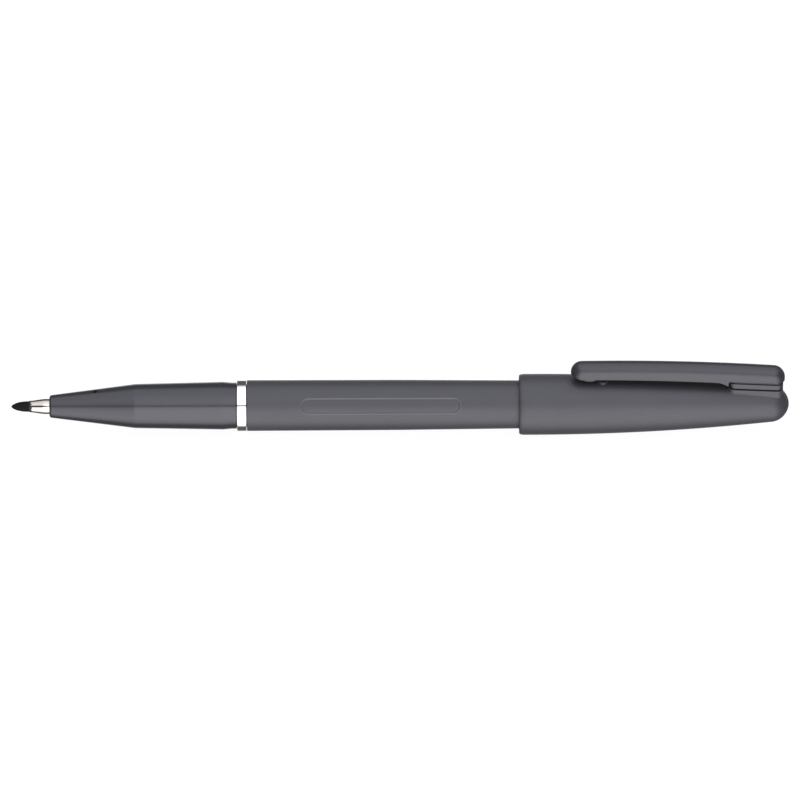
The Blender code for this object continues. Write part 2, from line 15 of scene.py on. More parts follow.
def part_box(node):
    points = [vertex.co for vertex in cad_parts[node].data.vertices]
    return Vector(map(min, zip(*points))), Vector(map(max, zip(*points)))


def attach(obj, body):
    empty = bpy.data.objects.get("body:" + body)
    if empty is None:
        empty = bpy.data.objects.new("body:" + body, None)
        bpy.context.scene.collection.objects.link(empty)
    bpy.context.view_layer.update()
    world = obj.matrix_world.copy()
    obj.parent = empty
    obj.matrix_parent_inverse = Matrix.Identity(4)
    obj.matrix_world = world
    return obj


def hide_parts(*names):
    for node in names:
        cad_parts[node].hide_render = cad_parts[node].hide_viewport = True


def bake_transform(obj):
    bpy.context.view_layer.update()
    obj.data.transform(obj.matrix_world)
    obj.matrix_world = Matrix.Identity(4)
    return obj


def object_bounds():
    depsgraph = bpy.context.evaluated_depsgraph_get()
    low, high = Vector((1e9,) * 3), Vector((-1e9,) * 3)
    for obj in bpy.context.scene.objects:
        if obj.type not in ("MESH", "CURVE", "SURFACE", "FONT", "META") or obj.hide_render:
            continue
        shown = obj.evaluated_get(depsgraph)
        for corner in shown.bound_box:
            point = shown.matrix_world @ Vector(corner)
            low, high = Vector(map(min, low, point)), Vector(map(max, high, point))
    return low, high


bl_info = {
    "name": "Lettering Pen",
    "version": (1, 0, 0),
    "blender": (4, 5, 0),
    "location": "3D View > Sidebar > Pen",
    "description": "Makes the visible surfaces, materials and studio of a fibre-tip lettering pen",
    "category": "Add Mesh",
}

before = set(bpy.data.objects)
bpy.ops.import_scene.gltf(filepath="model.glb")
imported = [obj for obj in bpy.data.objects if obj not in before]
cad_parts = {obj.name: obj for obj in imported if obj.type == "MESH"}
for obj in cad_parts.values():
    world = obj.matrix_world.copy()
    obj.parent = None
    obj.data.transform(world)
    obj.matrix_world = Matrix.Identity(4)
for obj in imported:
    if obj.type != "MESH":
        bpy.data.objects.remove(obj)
CAD_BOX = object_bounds()

MM = 0.001
WELD = 0.0002 * MM
ARC_STEP = math.radians(9)
SUPPORT = 0.12 * MM
SHARP = math.radians(38)


def node_span(node):
    """Where a frame node begins and ends along X."""
    low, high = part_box(node)
    return low.x, high.x


TUBE_LOW, TUBE_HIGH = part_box("barrel")
AXIS_HEIGHT = (TUBE_LOW.z + TUBE_HIGH.z) / 2
CAP_MOUTH, CAP_END = node_span("cap_shell")

# The tent of light is laid out round the line of sight, and the camera looks along it.
SIGHT_ELEVATION = math.radians(35)
SIGHT = Vector((0, -math.cos(SIGHT_ELEVATION), math.sin(SIGHT_ELEVATION)))
SIGHT_UP = Vector((0, math.sin(SIGHT_ELEVATION), math.cos(SIGHT_ELEVATION)))

# The tent's brightness and tint at angles round the pen from the line of sight, upwards positive.
COOL, WARM, BROWN, PLAIN = (0.96, 0.97, 1.06), (1.0, 0.985, 1.03), (1.1, 0.96, 0.93), (1, 1, 1)
TENT = (
    (-180, 0.9, PLAIN),
    (-157, 0.9, PLAIN),
    (-151, 0.11, BROWN),
    (-112, 0.11, BROWN),
    (-104, 0.8, WARM),
    (-92, 2.1, WARM),
    (-70, 3.2, WARM),
    (-30, 3.5, WARM),
    (-12, 3.3, WARM),
    (-5.0, 2.7, WARM),
    (-4.8, 0.1, BROWN),
    (2.5, 0.1, BROWN),
    (2.7, 2.3, COOL),
    (20, 2.4, COOL),
    (42, 2.1, COOL),
    (60, 1.65, COOL),
    (88, 1.35, COOL),
    (96, 0.8, COOL),
    (106, 0.10, BROWN),
    (145, 0.10, BROWN),
    (151, 1.1, PLAIN),
    (180, 1.1, PLAIN),
)
# The ramp's colours stay below 1, so the levels are divided by this and the background restores them.
TENT_STRENGTH = 3.8


def linear_from_hex(code):
    """The linear colour of an sRGB hex code."""
    srgb = [int(code[i : i + 2], 16) / 255 for i in (0, 2, 4)]
    return [c / 12.92 if c <= 0.04045 else ((c + 0.055) / 1.055) ** 2.4 for c in srgb]


# Surfaces


def filleted(corners, closed=False):
    """An outline through corners (x, r, fillet), each rounded by an arc that touches both sides.

    The arc's centre lies on the corner's bisector at fillet / sin(half the corner's angle), and the
    points turn evenly from one side to the other. Ends of an open outline stay sharp.
    """
    pieces = []
    last = len(corners) - 1
    for i, (x, r, fillet) in enumerate(corners):
        here = np.array((x, r))
        if not fillet or (not closed and i in (0, last)):
            pieces.append(here[None])
            continue
        before = np.array(corners[i - 1][:2]) - here
        after = np.array(corners[(i + 1) % len(corners)][:2]) - here
        before /= np.linalg.norm(before)
        after /= np.linalg.norm(after)
        half = math.acos(np.clip(before @ after, -1, 1)) / 2
        center = here + (before + after) / np.linalg.norm(before + after) * fillet / math.sin(half)
        start = here + before * fillet / math.tan(half) - center
        stop = here + after * fillet / math.tan(half) - center
        turn = math.pi - 2 * half
        share = np.linspace(0, 1, max(2, math.ceil(turn / ARC_STEP)) + 1)[:, None]
        arc = (np.sin((1 - share) * turn) * start + np.sin(share * turn) * stop) / math.sin(turn)
        pieces.append(center + arc)
    return np.concatenate(pieces)


def supported(outline, closed=False):
    """The outline with two more points near the ends of each long straight side.

    They keep the bend of the smoothed shading close to the corners.
    """
    following = np.roll(outline, -1, axis=0)
    if not closed:
        following = following[:-1]
    begun = outline[: len(following)]
    run = following - begun
    length = np.linalg.norm(run, axis=1)
    long = np.flatnonzero(length > 3 * SUPPORT)
    step = run[long] / length[long, None] * SUPPORT
    added = np.stack([begun[long] + step, following[long] - step], axis=1).reshape(-1, 2)
    return np.insert(outline, np.repeat(long + 1, 2), added, axis=0)


def turned(x, radius, angles):
    """Points at x and at a radius, turned about the pen's axis by the angles, 0 being the clip's side.

    y is minus the radius times the sine, and z is the axis' height plus the radius times the cosine.
    """
    y = -radius * np.sin(angles)
    z = AXIS_HEIGHT + radius * np.cos(angles)
    return np.stack([x + 0 * angles, y, z], axis=-1)


def swept(outline, angles, raised=0):
    """Every outline point (x, r), raised or sunk where asked, turned about the axis by every angle."""
    return turned(outline[:, 0, None], outline[:, 1, None] + raised, angles)


def even_angles(count):
    """A full turn in equal steps."""
    return np.arange(count) * 2 * math.pi / count


def angles_with_detail(center, reach, fine, coarse):
    """Angles once round: fine steps within reach of the centre, and coarse ones over the rest."""
    near = np.linspace(center - reach, center + reach, fine)
    far = np.linspace(center + reach, center - reach + 2 * math.pi, coarse)
    return np.concatenate([near, far[1:-1]])


def grid_faces(rows, columns, close_rows):
    """Corner indices of the quads between neighbouring points of a grid whose columns close up."""
    i = np.arange(rows if close_rows else rows - 1)[:, None]
    j = np.arange(columns)[None, :]
    down = (i + 1) % rows
    right = (j + 1) % columns
    return np.stack(
        [i * columns + j, i * columns + right, down * columns + right, down * columns + j], axis=-1
    ).reshape(-1, 4)


def skin(name, grid, material, close_rows=False):
    """A closed object through a grid of points (rows, columns, 3), with faces pointing outwards."""
    rows, columns = grid.shape[:2]
    faces = grid_faces(rows, columns, close_rows)
    mesh = bpy.data.meshes.new(name)
    mesh.vertices.add(rows * columns)
    mesh.vertices.foreach_set("co", grid.astype(np.float32).ravel())
    mesh.loops.add(faces.size)
    mesh.loops.foreach_set("vertex_index", faces.astype(np.int32).ravel())
    mesh.polygons.add(len(faces))
    mesh.polygons.foreach_set("loop_start", np.arange(0, faces.size, 4, dtype=np.int32))
    mesh.update(calc_edges=True)
    bm = bmesh.new()
    bm.from_mesh(mesh)
    bmesh.ops.remove_doubles(bm, verts=bm.verts, dist=WELD)
    bmesh.ops.recalc_face_normals(bm, faces=bm.faces)
    bm.to_mesh(mesh)
    bm.free()
    mesh.shade_smooth()
    mesh.set_sharp_from_angle(angle=SHARP)
    mesh.materials.append(material)
    obj = bpy.data.objects.new(name, mesh)
    bpy.context.scene.collection.objects.link(obj)
    return obj


def place(piece, body, slot, *nodes):
    """The piece moves with a body of the frame and stands for some of its nodes."""
    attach(piece, body)
    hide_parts(*nodes)


def smooth_step(t):
    """0 below 0, 1 above 1, and 3t^2 - 2t^3 between."""
    t = np.clip(t, 0, 1)
    return t * t * (3 - 2 * t)


def soft_max(a, b, width):
    """The larger of two heights, with the corner between them rounded over a width."""
    return (a + b + np.sqrt((a - b) ** 2 + width**2)) / 2


def soft_min(a, b, width):
    """The smaller of two heights, with the corner between them rounded over a width."""
    return (a + b - np.sqrt((a - b) ** 2 + width**2)) / 2


def cosine_steps(start, stop, count):
    """Steps that crowd towards the start as the end of a half circle does."""
    return start + (stop - start) * (1 - np.cos(np.linspace(0, math.pi / 2, count)))


# Materials


def add_node(owner, kind, inputs=None, **settings):
    """Adds a node to a material or world, sets its properties, then links or sets its inputs."""
    tree = owner.node_tree
    node = tree.nodes.new(kind)
    for name, value in settings.items():
        setattr(node, name, value)
    for name, value in (inputs or {}).items():
        if isinstance(value, bpy.types.NodeSocket):
            tree.links.new(value, node.inputs[name])
        else:
            node.inputs[name].default_value = value
    return node


def new_material(name):
    """An empty material and its output node."""
    material = bpy.data.materials.new(name)
    material.use_nodes = True
    material.node_tree.nodes.clear()
    return material, add_node(material, "ShaderNodeOutputMaterial")


def finish_material(material, output, shader):
    """The material, with its shader linked to its output."""
    material.node_tree.links.new(shader.outputs[0], output.inputs["Surface"])
    return material


def toned(color, factor=1.0):
    """The colour times a factor, with full alpha."""
    return (*[c * factor for c in color], 1)


def spark_eroded_abs(name, color):
    """ABS moulded in a spark-eroded tool: a fine matte grain, a soft broad gloss and faint mottling.

    Where a mesh has the lip highlight attribute, the plastic is painted paler: a painted highlight. The real
    grain is about 0.04 mm wide, which is too fine to show, so it is drawn about ten times as wide.
    """
    grain_width, mottle_width = 0.385 * MM, 5.9 * MM
    material, output = new_material(name)
    where = add_node(material, "ShaderNodeTexCoord").outputs["Object"]
    inputs = {"Vector": where, "Scale": 1 / grain_width, "Detail": 3}
    grain = add_node(material, "ShaderNodeTexNoise", inputs).outputs["Fac"]
    inputs = {"Vector": where, "Scale": 1 / mottle_width, "Detail": 3}
    mottle = add_node(material, "ShaderNodeTexNoise", inputs).outputs["Fac"]
    share = add_node(material, "ShaderNodeMapRange", {0: mottle, 1: 0.3, 2: 0.7}).outputs[0]
    inputs = {0: share, 6: toned(color, 0.96), 7: toned(color, 1.04)}
    mottled = add_node(material, "ShaderNodeMix", inputs, data_type="RGBA").outputs[2]
    # Painted highlight: where the attribute is 1, the plastic is painted 2.4 times as pale.
    painted_lip_highlight = add_node(material, "ShaderNodeAttribute", attribute_name="painted_lip_highlight").outputs["Fac"]
    inputs = {0: painted_lip_highlight, 6: mottled, 7: toned(color, 2.4)}
    base = add_node(material, "ShaderNodeMix", inputs, data_type="RGBA")
    rough = add_node(material, "ShaderNodeMapRange", {0: grain, 1: 0.3, 2: 0.7, 3: 0.40, 4: 0.50})
    inputs = {"Height": grain, "Strength": 0.25, "Distance": 0.03 * MM}
    relief = add_node(material, "ShaderNodeBump", inputs)
    shader = add_node(
        material,
        "ShaderNodeBsdfPrincipled",
        {
            "Base Color": base.outputs[2],
            "Roughness": rough.outputs[0],
            "IOR": 1.50,
            "Normal": relief.outputs[0],
        },
    )
    return finish_material(material, output, shader)


def polished_abs(name, color, haze):
    """ABS moulded in a polished tool: glossy, with the slow waviness of shrinkage and fine handling marks.

    Haze is the roughness of its cleanest parts. Real handling marks are about 0.02 mm wide, which is too
    fine to show, so they are drawn about ten times as wide.
    """
    wave_width, mark_width = 3.85 * MM, 0.192 * MM
    material, output = new_material(name)
    where = add_node(material, "ShaderNodeTexCoord").outputs["Object"]
    inputs = {"Vector": where, "Scale": (0.35, 1, 1)}
    drawn_out = add_node(material, "ShaderNodeMapping", inputs).outputs[0]
    inputs = {"Vector": drawn_out, "Scale": 1 / wave_width}
    waves = add_node(material, "ShaderNodeTexNoise", inputs).outputs["Fac"]
    inputs = {"Vector": where, "Scale": (0.12, 1, 1)}
    drawn_out = add_node(material, "ShaderNodeMapping", inputs).outputs[0]
    inputs = {"Vector": drawn_out, "Scale": 1 / mark_width}
    marks = add_node(material, "ShaderNodeTexNoise", inputs).outputs["Fac"]
    inputs = {0: waves, 6: toned(color, 0.98), 7: toned(color, 1.02)}
    base = add_node(material, "ShaderNodeMix", inputs, data_type="RGBA")
    inputs = {0: marks, 1: 0.35, 2: 0.75, 3: haze, 4: haze + 0.08}
    rough = add_node(material, "ShaderNodeMapRange", inputs)
    inputs = {"Height": waves, "Strength": 0.06, "Distance": 0.05 * MM}
    relief = add_node(material, "ShaderNodeBump", inputs)
    shader = add_node(
        material,
        "ShaderNodeBsdfPrincipled",
        {
            "Base Color": base.outputs[2],
            "Roughness": rough.outputs[0],
            "IOR": 1.52,
            "Normal": relief.outputs[0],
        },
    )
    return finish_material(material, output, shader)


def bright_plating(name, color):
    """Chromium plating on a turned ring: a clear mirror with faint lines round the ring.

    Real turning lines are about 0.03 mm apart. They are drawn about 0.11 mm apart, to show from near.
    """
    line_width = 0.111 * MM
    material, output = new_material(name)
    where = add_node(material, "ShaderNodeTexCoord").outputs["Object"]
    inputs = {"Vector": where, "Scale": (1, 0.02, 0.02)}
    drawn_out = add_node(material, "ShaderNodeMapping", inputs).outputs[0]
    inputs = {"Vector": drawn_out, "Scale": 1 / line_width}
    lines = add_node(material, "ShaderNodeTexNoise", inputs).outputs["Fac"]
    rough = add_node(material, "ShaderNodeMapRange", {0: lines, 1: 0.3, 2: 0.7, 3: 0.03, 4: 0.08})
    inputs = {"Height": lines, "Strength": 0.05, "Distance": 0.01 * MM}
    relief = add_node(material, "ShaderNodeBump", inputs)
    shader = add_node(
        material,
        "ShaderNodeBsdfPrincipled",
        {
            "Base Color": toned(color),
            "Metallic": 1.0,
            "Roughness": rough.outputs[0],
            "Normal": relief.outputs[0],
        },
    )
    return finish_material(material, output, shader)


def drawn_steel(name, color, ink, ink_edge):
    """Steel sheet rolled to a cone and drawn: soft mirror lines along it, ink that has crept over its
    ragged front edge, and a dark line along the side that faces the line of sight.

    Real drawing lines are about 0.03 mm apart, which is too fine to show, so they are drawn about five
    times as wide. The ink's edge wanders up to 0.3 mm to and fro, about every 0.4 mm.
    """
    line_width, wander_width, wander = 0.167 * MM, 0.385 * MM, 0.3 * MM
    material, output = new_material(name)
    where = add_node(material, "ShaderNodeTexCoord").outputs["Object"]
    inputs = {"Vector": where, "Scale": (0.05, 1, 1)}
    drawn_out = add_node(material, "ShaderNodeMapping", inputs).outputs[0]
    inputs = {"Vector": drawn_out, "Scale": 1 / line_width}
    lines = add_node(material, "ShaderNodeTexNoise", inputs).outputs["Fac"]

    inputs = {"Vector": where, "Scale": 1 / wander_width, "Detail": 3}
    ragged = add_node(material, "ShaderNodeTexNoise", inputs).outputs["Fac"]
    inputs = {0: ragged, 1: 0.25, 2: 0.75, 3: -wander, 4: wander}
    shift = add_node(material, "ShaderNodeMapRange", inputs).outputs[0]
    along = add_node(material, "ShaderNodeSeparateXYZ", {0: where}).outputs[0]
    behind = add_node(material, "ShaderNodeMath", {0: along, 1: shift}, operation="ADD").outputs[0]
    inputs = {0: behind, 1: ink_edge, 2: ink_edge + 0.1 * MM, 3: 1, 4: 0}
    front = add_node(material, "ShaderNodeMapRange", inputs).outputs[0]

    # A dark line along the side that faces the line of sight: 0.34 mm wide up to 2 mm behind the ink's edge,
    # narrowing to 0.1 mm wide by 3.6 mm behind it.
    inputs = {0: where, 1: SIGHT_UP}
    rise = add_node(material, "ShaderNodeVectorMath", inputs, operation="DOT_PRODUCT").outputs["Value"]
    inputs = {0: rise, 1: AXIS_HEIGHT * SIGHT_UP.z}
    above = add_node(material, "ShaderNodeMath", inputs, operation="SUBTRACT").outputs[0]
    from_dark_line = add_node(material, "ShaderNodeMath", {0: above}, operation="ABSOLUTE").outputs[0]
    inputs = {0: along, 1: ink_edge + 2 * MM, 2: ink_edge + 3.6 * MM, 3: 0.17 * MM, 4: 0.05 * MM}
    dark_line_reach = add_node(material, "ShaderNodeMapRange", inputs).outputs[0]
    inputs = {0: from_dark_line, 1: dark_line_reach}
    dark_line = add_node(material, "ShaderNodeMath", inputs, operation="LESS_THAN").outputs[0]
    # The ink at the front, and the dark line along the side that faces the line of sight.
    ink_and_dark_line = add_node(material, "ShaderNodeMath", {0: front, 1: dark_line}, operation="MAXIMUM").outputs[0]

    inputs = {0: ink_and_dark_line, 6: toned(color), 7: toned(ink)}
    base = add_node(material, "ShaderNodeMix", inputs, data_type="RGBA")
    bare = add_node(material, "ShaderNodeMapRange", {0: ink_and_dark_line, 3: 1, 4: 0})
    rough = add_node(material, "ShaderNodeMapRange", {0: ink_and_dark_line, 3: 0.12, 4: 0.6})
    inputs = {"Height": lines, "Strength": 0.06, "Distance": 0.01 * MM}
    relief = add_node(material, "ShaderNodeBump", inputs)
    shader = add_node(
        material,
        "ShaderNodeBsdfPrincipled",
        {
            "Base Color": base.outputs[2],
            "Metallic": bare.outputs[0],
            "Roughness": rough.outputs[0],
            "Normal": relief.outputs[0],
        },
    )
    return finish_material(material, output, shader)


def inked_felt(name, color):
    """Pressed polyester felt soaked with ink: nearly black, fuzzy, with fibres that run to the point.

    Real fibres are about 0.02 mm thick, which is too fine to show, so they are drawn about seven times as
    thick.
    """
    fibre_width = 0.143 * MM
    material, output = new_material(name)
    where = add_node(material, "ShaderNodeTexCoord").outputs["Object"]
    inputs = {"Vector": where, "Scale": (0.14, 1, 1)}
    drawn_out = add_node(material, "ShaderNodeMapping", inputs).outputs[0]
    inputs = {"Vector": drawn_out, "Scale": 1 / fibre_width, "Detail": 4, "Roughness": 0.6}
    fibres = add_node(material, "ShaderNodeTexNoise", inputs).outputs["Fac"]
    inputs = {0: fibres, 6: toned(color, 0.6), 7: toned(color, 1.6)}
    base = add_node(material, "ShaderNodeMix", inputs, data_type="RGBA")
    inputs = {"Height": fibres, "Strength": 0.6, "Distance": 0.06 * MM}
    relief = add_node(material, "ShaderNodeBump", inputs)
    shader = add_node(
        material,
        "ShaderNodeBsdfPrincipled",
        {
            "Base Color": base.outputs[2],
            "Roughness": 0.85,
            "IOR": 1.30,
            "Normal": relief.outputs[0],
        },
    )
    return finish_material(material, output, shader)


def bonded_fibre(name, color, ink):
    """Bonded polyester rod: white fibres along the pen, dark with ink in streaks.

    Real fibres are about 0.03 mm thick. They are drawn as bundles of 0.25 mm, to show.
    """
    bundle_width = 0.25 * MM
    material, output = new_material(name)
    where = add_node(material, "ShaderNodeTexCoord").outputs["Object"]
    inputs = {"Vector": where, "Scale": (0.06, 1, 1)}
    drawn_out = add_node(material, "ShaderNodeMapping", inputs).outputs[0]
    inputs = {"Vector": drawn_out, "Scale": 1 / bundle_width, "Detail": 4, "Roughness": 0.6}
    fibres = add_node(material, "ShaderNodeTexNoise", inputs).outputs["Fac"]
    inked = add_node(material, "ShaderNodeMapRange", {0: fibres, 1: 0.4, 2: 0.75}).outputs[0]
    inputs = {0: inked, 6: toned(color), 7: toned(ink)}
    base = add_node(material, "ShaderNodeMix", inputs, data_type="RGBA")
    inputs = {"Height": fibres, "Strength": 0.5, "Distance": 0.08 * MM}
    relief = add_node(material, "ShaderNodeBump", inputs)
    shader = add_node(
        material,
        "ShaderNodeBsdfPrincipled",
        {
            "Base Color": base.outputs[2],
            "Roughness": 0.9,
            "IOR": 1.45,
            "Normal": relief.outputs[0],
        },
    )
    return finish_material(material, output, shader)


def wrapping_film(name, color):
    """Clear polypropylene film: smooth, thin and slightly milky, with wrinkles about 2 mm wide."""
    wrinkle_width = 2 * MM
    material, output = new_material(name)
    where = add_node(material, "ShaderNodeTexCoord").outputs["Object"]
    inputs = {"Vector": where, "Scale": (0.3, 1, 1)}
    drawn_out = add_node(material, "ShaderNodeMapping", inputs).outputs[0]
    inputs = {"Vector": drawn_out, "Scale": 1 / wrinkle_width}
    wrinkles = add_node(material, "ShaderNodeTexNoise", inputs).outputs["Fac"]
    inputs = {"Height": wrinkles, "Strength": 0.2, "Distance": 0.05 * MM}
    relief = add_node(material, "ShaderNodeBump", inputs)
    shader = add_node(
        material,
        "ShaderNodeBsdfPrincipled",
        {
            "Base Color": toned(color),
            "Roughness": 0.12,
            "IOR": 1.49,
            "Transmission Weight": 0.85,
            "Normal": relief.outputs[0],
        },
    )
    return finish_material(material, output, shader)


def natural_polyethylene(name, color):
    """Uncoloured polyethylene: waxy, soft in gloss, cloudy every 1.4 mm, and light goes a little way in."""
    cloud_width = 1.43 * MM
    material, output = new_material(name)
    where = add_node(material, "ShaderNodeTexCoord").outputs["Object"]
    inputs = {"Vector": where, "Scale": 1 / cloud_width, "Detail": 3}
    clouds = add_node(material, "ShaderNodeTexNoise", inputs).outputs["Fac"]
    inputs = {0: clouds, 6: toned(color, 0.95), 7: toned(color)}
    base = add_node(material, "ShaderNodeMix", inputs, data_type="RGBA")
    rough = add_node(material, "ShaderNodeMapRange", {0: clouds, 1: 0.3, 2: 0.7, 3: 0.35, 4: 0.5})
    inputs = {"Height": clouds, "Strength": 0.15, "Distance": 0.04 * MM}
    relief = add_node(material, "ShaderNodeBump", inputs)
    shader = add_node(
        material,
        "ShaderNodeBsdfPrincipled",
        {
            "Base Color": base.outputs[2],
            "Roughness": rough.outputs[0],
            "IOR": 1.51,
            "Subsurface Weight": 0.2,
            "Subsurface Scale": 0.6 * MM,
            "Normal": relief.outputs[0],
        },
    )
    return finish_material(material, output, shader)


def pen_material(maker, name, *values):
    """The material of that name, made when it is first asked for."""
    return bpy.data.materials.get(name) or maker(name, *values)


def matte_grey(context):
    """The matte plastic of barrel, cap and tail plug."""
    return pen_material(spark_eroded_abs, "abs_spark_eroded_grey", context.scene.pen_colors.matte)


def gloss_grey(context):
    """The glossy plastic of nose and grip."""
    return pen_material(polished_abs, "abs_polished_grey", context.scene.pen_colors.gloss, 0.18)


def satin_grey(context):
    """The same plastic on the clip, duller from handling."""
    return pen_material(polished_abs, "abs_satin_grey", context.scene.pen_colors.gloss, 0.31)


def liner_plastic(context):
    """The soft plastic of inner cap and nib holder."""
    return pen_material(natural_polyethylene, "polyethylene_natural", context.scene.pen_colors.liner)


# Properties


def size(name, text, millimetres):
    """A length that the user can change, with its default in millimetres."""
    return FloatProperty(
        name=name, description=text, default=millimetres * MM, min=0, unit="LENGTH", precision=5
    )


def color(name, text, code):
    """A colour that the user can change, with its default as an sRGB hex code."""
    return FloatVectorProperty(
        name=name, description=text, default=linear_from_hex(code), min=0, max=1, subtype="COLOR"
    )


class PenSizes(bpy.types.PropertyGroup):
    nib_radius: size("Nib radius", "Radius of the fibre nib where it leaves the sleeve", 1.05)
    sleeve_radius: size("Sleeve radius", "Radius of the metal sleeve where it enters the nose", 1.53)
    nose_radius: size("Nose radius", "Radius of the nose behind its rounded lip", 2.29)
    knee_radius: size("Knee radius", "Radius where the nose cone meets the grip", 4.42)
    grip_radius: size("Grip radius", "Largest radius of the grip", 4.785)
    ring_radius: size("Ring radius", "Radius of the bright ring", 5.15)
    barrel_radius: size("Barrel radius", "Radius of the barrel behind the ring", 5.08)
    barrel_taper: size("Barrel radius at cap", "Radius of the barrel at the cap's mouth", 4.82)
    tail_radius: size("Tail radius", "Radius of the barrel at the tail plug", 4.40)
    badge_length: size("Panel length", "Length of the recessed oval panel", 31.8)
    badge_width: size("Panel width", "Width of the recessed oval panel", 3.14)
    badge_depth: size("Panel depth", "Depth of the recessed oval panel", 0.10)
    cap_radius: size("Cap radius", "Radius of the cap at its mouth", 6.10)
    cap_drop: size("Cap taper", "How much the cap's radius falls towards its closed end", 2.40)
    clip_half_width: size("Clip half width", "Half the width of the clip", 2.16)
    clip_height: size("Clip height", "From the axis to the middle of the clip's half-round back", 7.95)


class PenColors(bpy.types.PropertyGroup):
    matte: color("Matte grey", "Barrel and cap", "353539")
    gloss: color("Gloss grey", "Nose, grip and clip", "2a2a2f")
    chrome: color("Chrome", "Trim ring", "f4f4f4")
    steel: color("Steel", "Nib sleeve", "bdb6ac")
    ink: color("Ink", "Inked fibre and stains", "0f0c0b")
    fibre: color("Fibre", "Fibre of the ink core", "dcdad4")
    film: color("Film", "Film round the ink core", "eef2f4")
    liner: color("Liner", "Inner cap and nib holder", "c9cccc")


# Nib and front


# The widening space behind the nib, measured from the section's lip.
CHAMBER_FRONT, CHAMBER_REAR = 7.3 * MM, 18.1 * MM
CHAMBER_RADII = (1.9 * MM, 3.6 * MM)


class PEN_OT_nib(bpy.types.Operator):
    """Make the fibre nib: a bullet point on a stem that reaches into the ink core"""

    bl_idname = "pen.nib"
    bl_label = "Nib"

    def execute(self, context):
        sizes, colors = context.scene.pen_sizes, context.scene.pen_colors
        tip, rear = node_span("nib")
        base = node_span("nib_sleeve")[0]
        # A bullet: one less the rest of the way to the power 2.4, and that to the power 0.65.
        share = np.linspace(0, 1, 40) ** 2
        radius = sizes.nib_radius * (1 - (1 - share) ** 2.4) ** 0.65
        point = np.stack([tip + (base - tip) * share, radius], axis=1)
        stem_radius = 0.85 * MM
        stem = filleted([(base, stem_radius, 0), (rear, stem_radius, 0.1 * MM), (rear, 0, 0)])
        outline = supported(np.concatenate([point, stem]))
        felt = pen_material(inked_felt, "felt_inked", colors.ink)
        nib = skin("nib_felt", swept(outline, even_angles(64)), felt)
        place(nib, "pen", "inked_fibre", "nib")
        return {"FINISHED"}


class PEN_OT_nib_sleeve(bpy.types.Operator):
    """Make the drawn metal sleeve round the nib"""

    bl_idname = "pen.nib_sleeve"
    bl_label = "Nib sleeve"

    def execute(self, context):
        sizes, colors = context.scene.pen_sizes, context.scene.pen_colors
        front, rear = node_span("nib_sleeve")
        bore, inked = 0.95 * MM, 0.45 * MM
        outline = filleted(
            [
                (front, bore, 0.03 * MM),
                (front, sizes.nib_radius + 0.06 * MM, 0.08 * MM),
                (front + 2.95 * MM, sizes.sleeve_radius, 3 * MM),
                (rear, sizes.sleeve_radius, 0.1 * MM),
                (rear, bore, 0.05 * MM),
            ],
            closed=True,
        )
        steel = pen_material(drawn_steel, "steel_drawn", colors.steel, colors.ink, front + inked)
        grid = swept(supported(outline, closed=True), even_angles(96))
        sleeve = skin("sleeve_drawn", grid, steel, close_rows=True)
        place(sleeve, "pen", "nib_steel", "nib_sleeve")
        return {"FINISHED"}


class PEN_OT_section(bpy.types.Operator):
    """Make the nose cone and grip, with its vent hole and the spigot for ring and barrel"""

    bl_idname = "pen.section"
    bl_label = "Section"

    def execute(self, context):
        sizes = context.scene.pen_sizes
        lip, rear = node_span("section")
        shoulder = node_span("trim_ring")[0] - 0.1 * MM
        seat, spigot = 1.63 * MM, 4.2 * MM
        relief = sizes.grip_radius - 0.155 * MM
        chamber_front, chamber_rear = lip + CHAMBER_FRONT, lip + CHAMBER_REAR
        narrow, bore = CHAMBER_RADII
        corners = [
            (lip, seat, 0),
            (lip, sizes.nose_radius - 0.05 * MM, 0.5 * MM),
            (lip + 17.1 * MM, sizes.knee_radius, 2.5 * MM),
            (lip + 19.1 * MM, sizes.knee_radius + 0.05 * MM, 2.5 * MM),
            (shoulder - 2.7 * MM, sizes.grip_radius, 1.5 * MM),
            (shoulder - 1.0 * MM, relief, 1.0 * MM),
            (shoulder, relief, 0.12 * MM),
            (shoulder, spigot, 0.05 * MM),
            (rear, spigot, 0.2 * MM),
            (rear, bore, 0.1 * MM),
            (chamber_rear, bore, 0.5 * MM),
            (chamber_front, narrow, 0.2 * MM),
            (chamber_front, seat, 0),
        ]
        outline = supported(filleted(corners), closed=True)

        # The cone gets fine rows round the vent hole, and there the surface sinks where the distance from
        # the hole's centre is below its radius.
        vent_x, vent_turn = lip + 9.15 * MM, math.radians(-6)
        vent_radius, vent_edge, vent_depth, reach = 0.53 * MM, 0.06 * MM, 1.12 * MM, 0.75 * MM
        outside = (outline[:, 1] > sizes.nose_radius) & (outline[:, 0] < vent_x)
        start = np.flatnonzero(outside)[-1]
        run = outline[start + 1] - outline[start]
        fine = np.linspace(vent_x - reach, vent_x + reach, 41)
        rows = outline[start] + (fine - outline[start, 0])[:, None] * run / run[0]
        outline = np.insert(outline, start + 1, rows, axis=0)
        is_fine = np.zeros(len(outline), bool)
        is_fine[start + 1 : start + 1 + len(rows)] = True
        radius = rows[len(rows) // 2, 1]
        angles = angles_with_detail(vent_turn, reach / radius, 41, 110)
        distance = np.hypot(outline[:, 0, None] - vent_x, (angles - vent_turn) * radius)
        pit = vent_depth * smooth_step((vent_radius - distance) / vent_edge) * is_fine[:, None]
        grid = swept(outline, angles, -pit)
        section = skin("section_moulded", grid, gloss_grey(context), close_rows=True)
        place(section, "pen", "gloss_grey", "section")
        return {"FINISHED"}


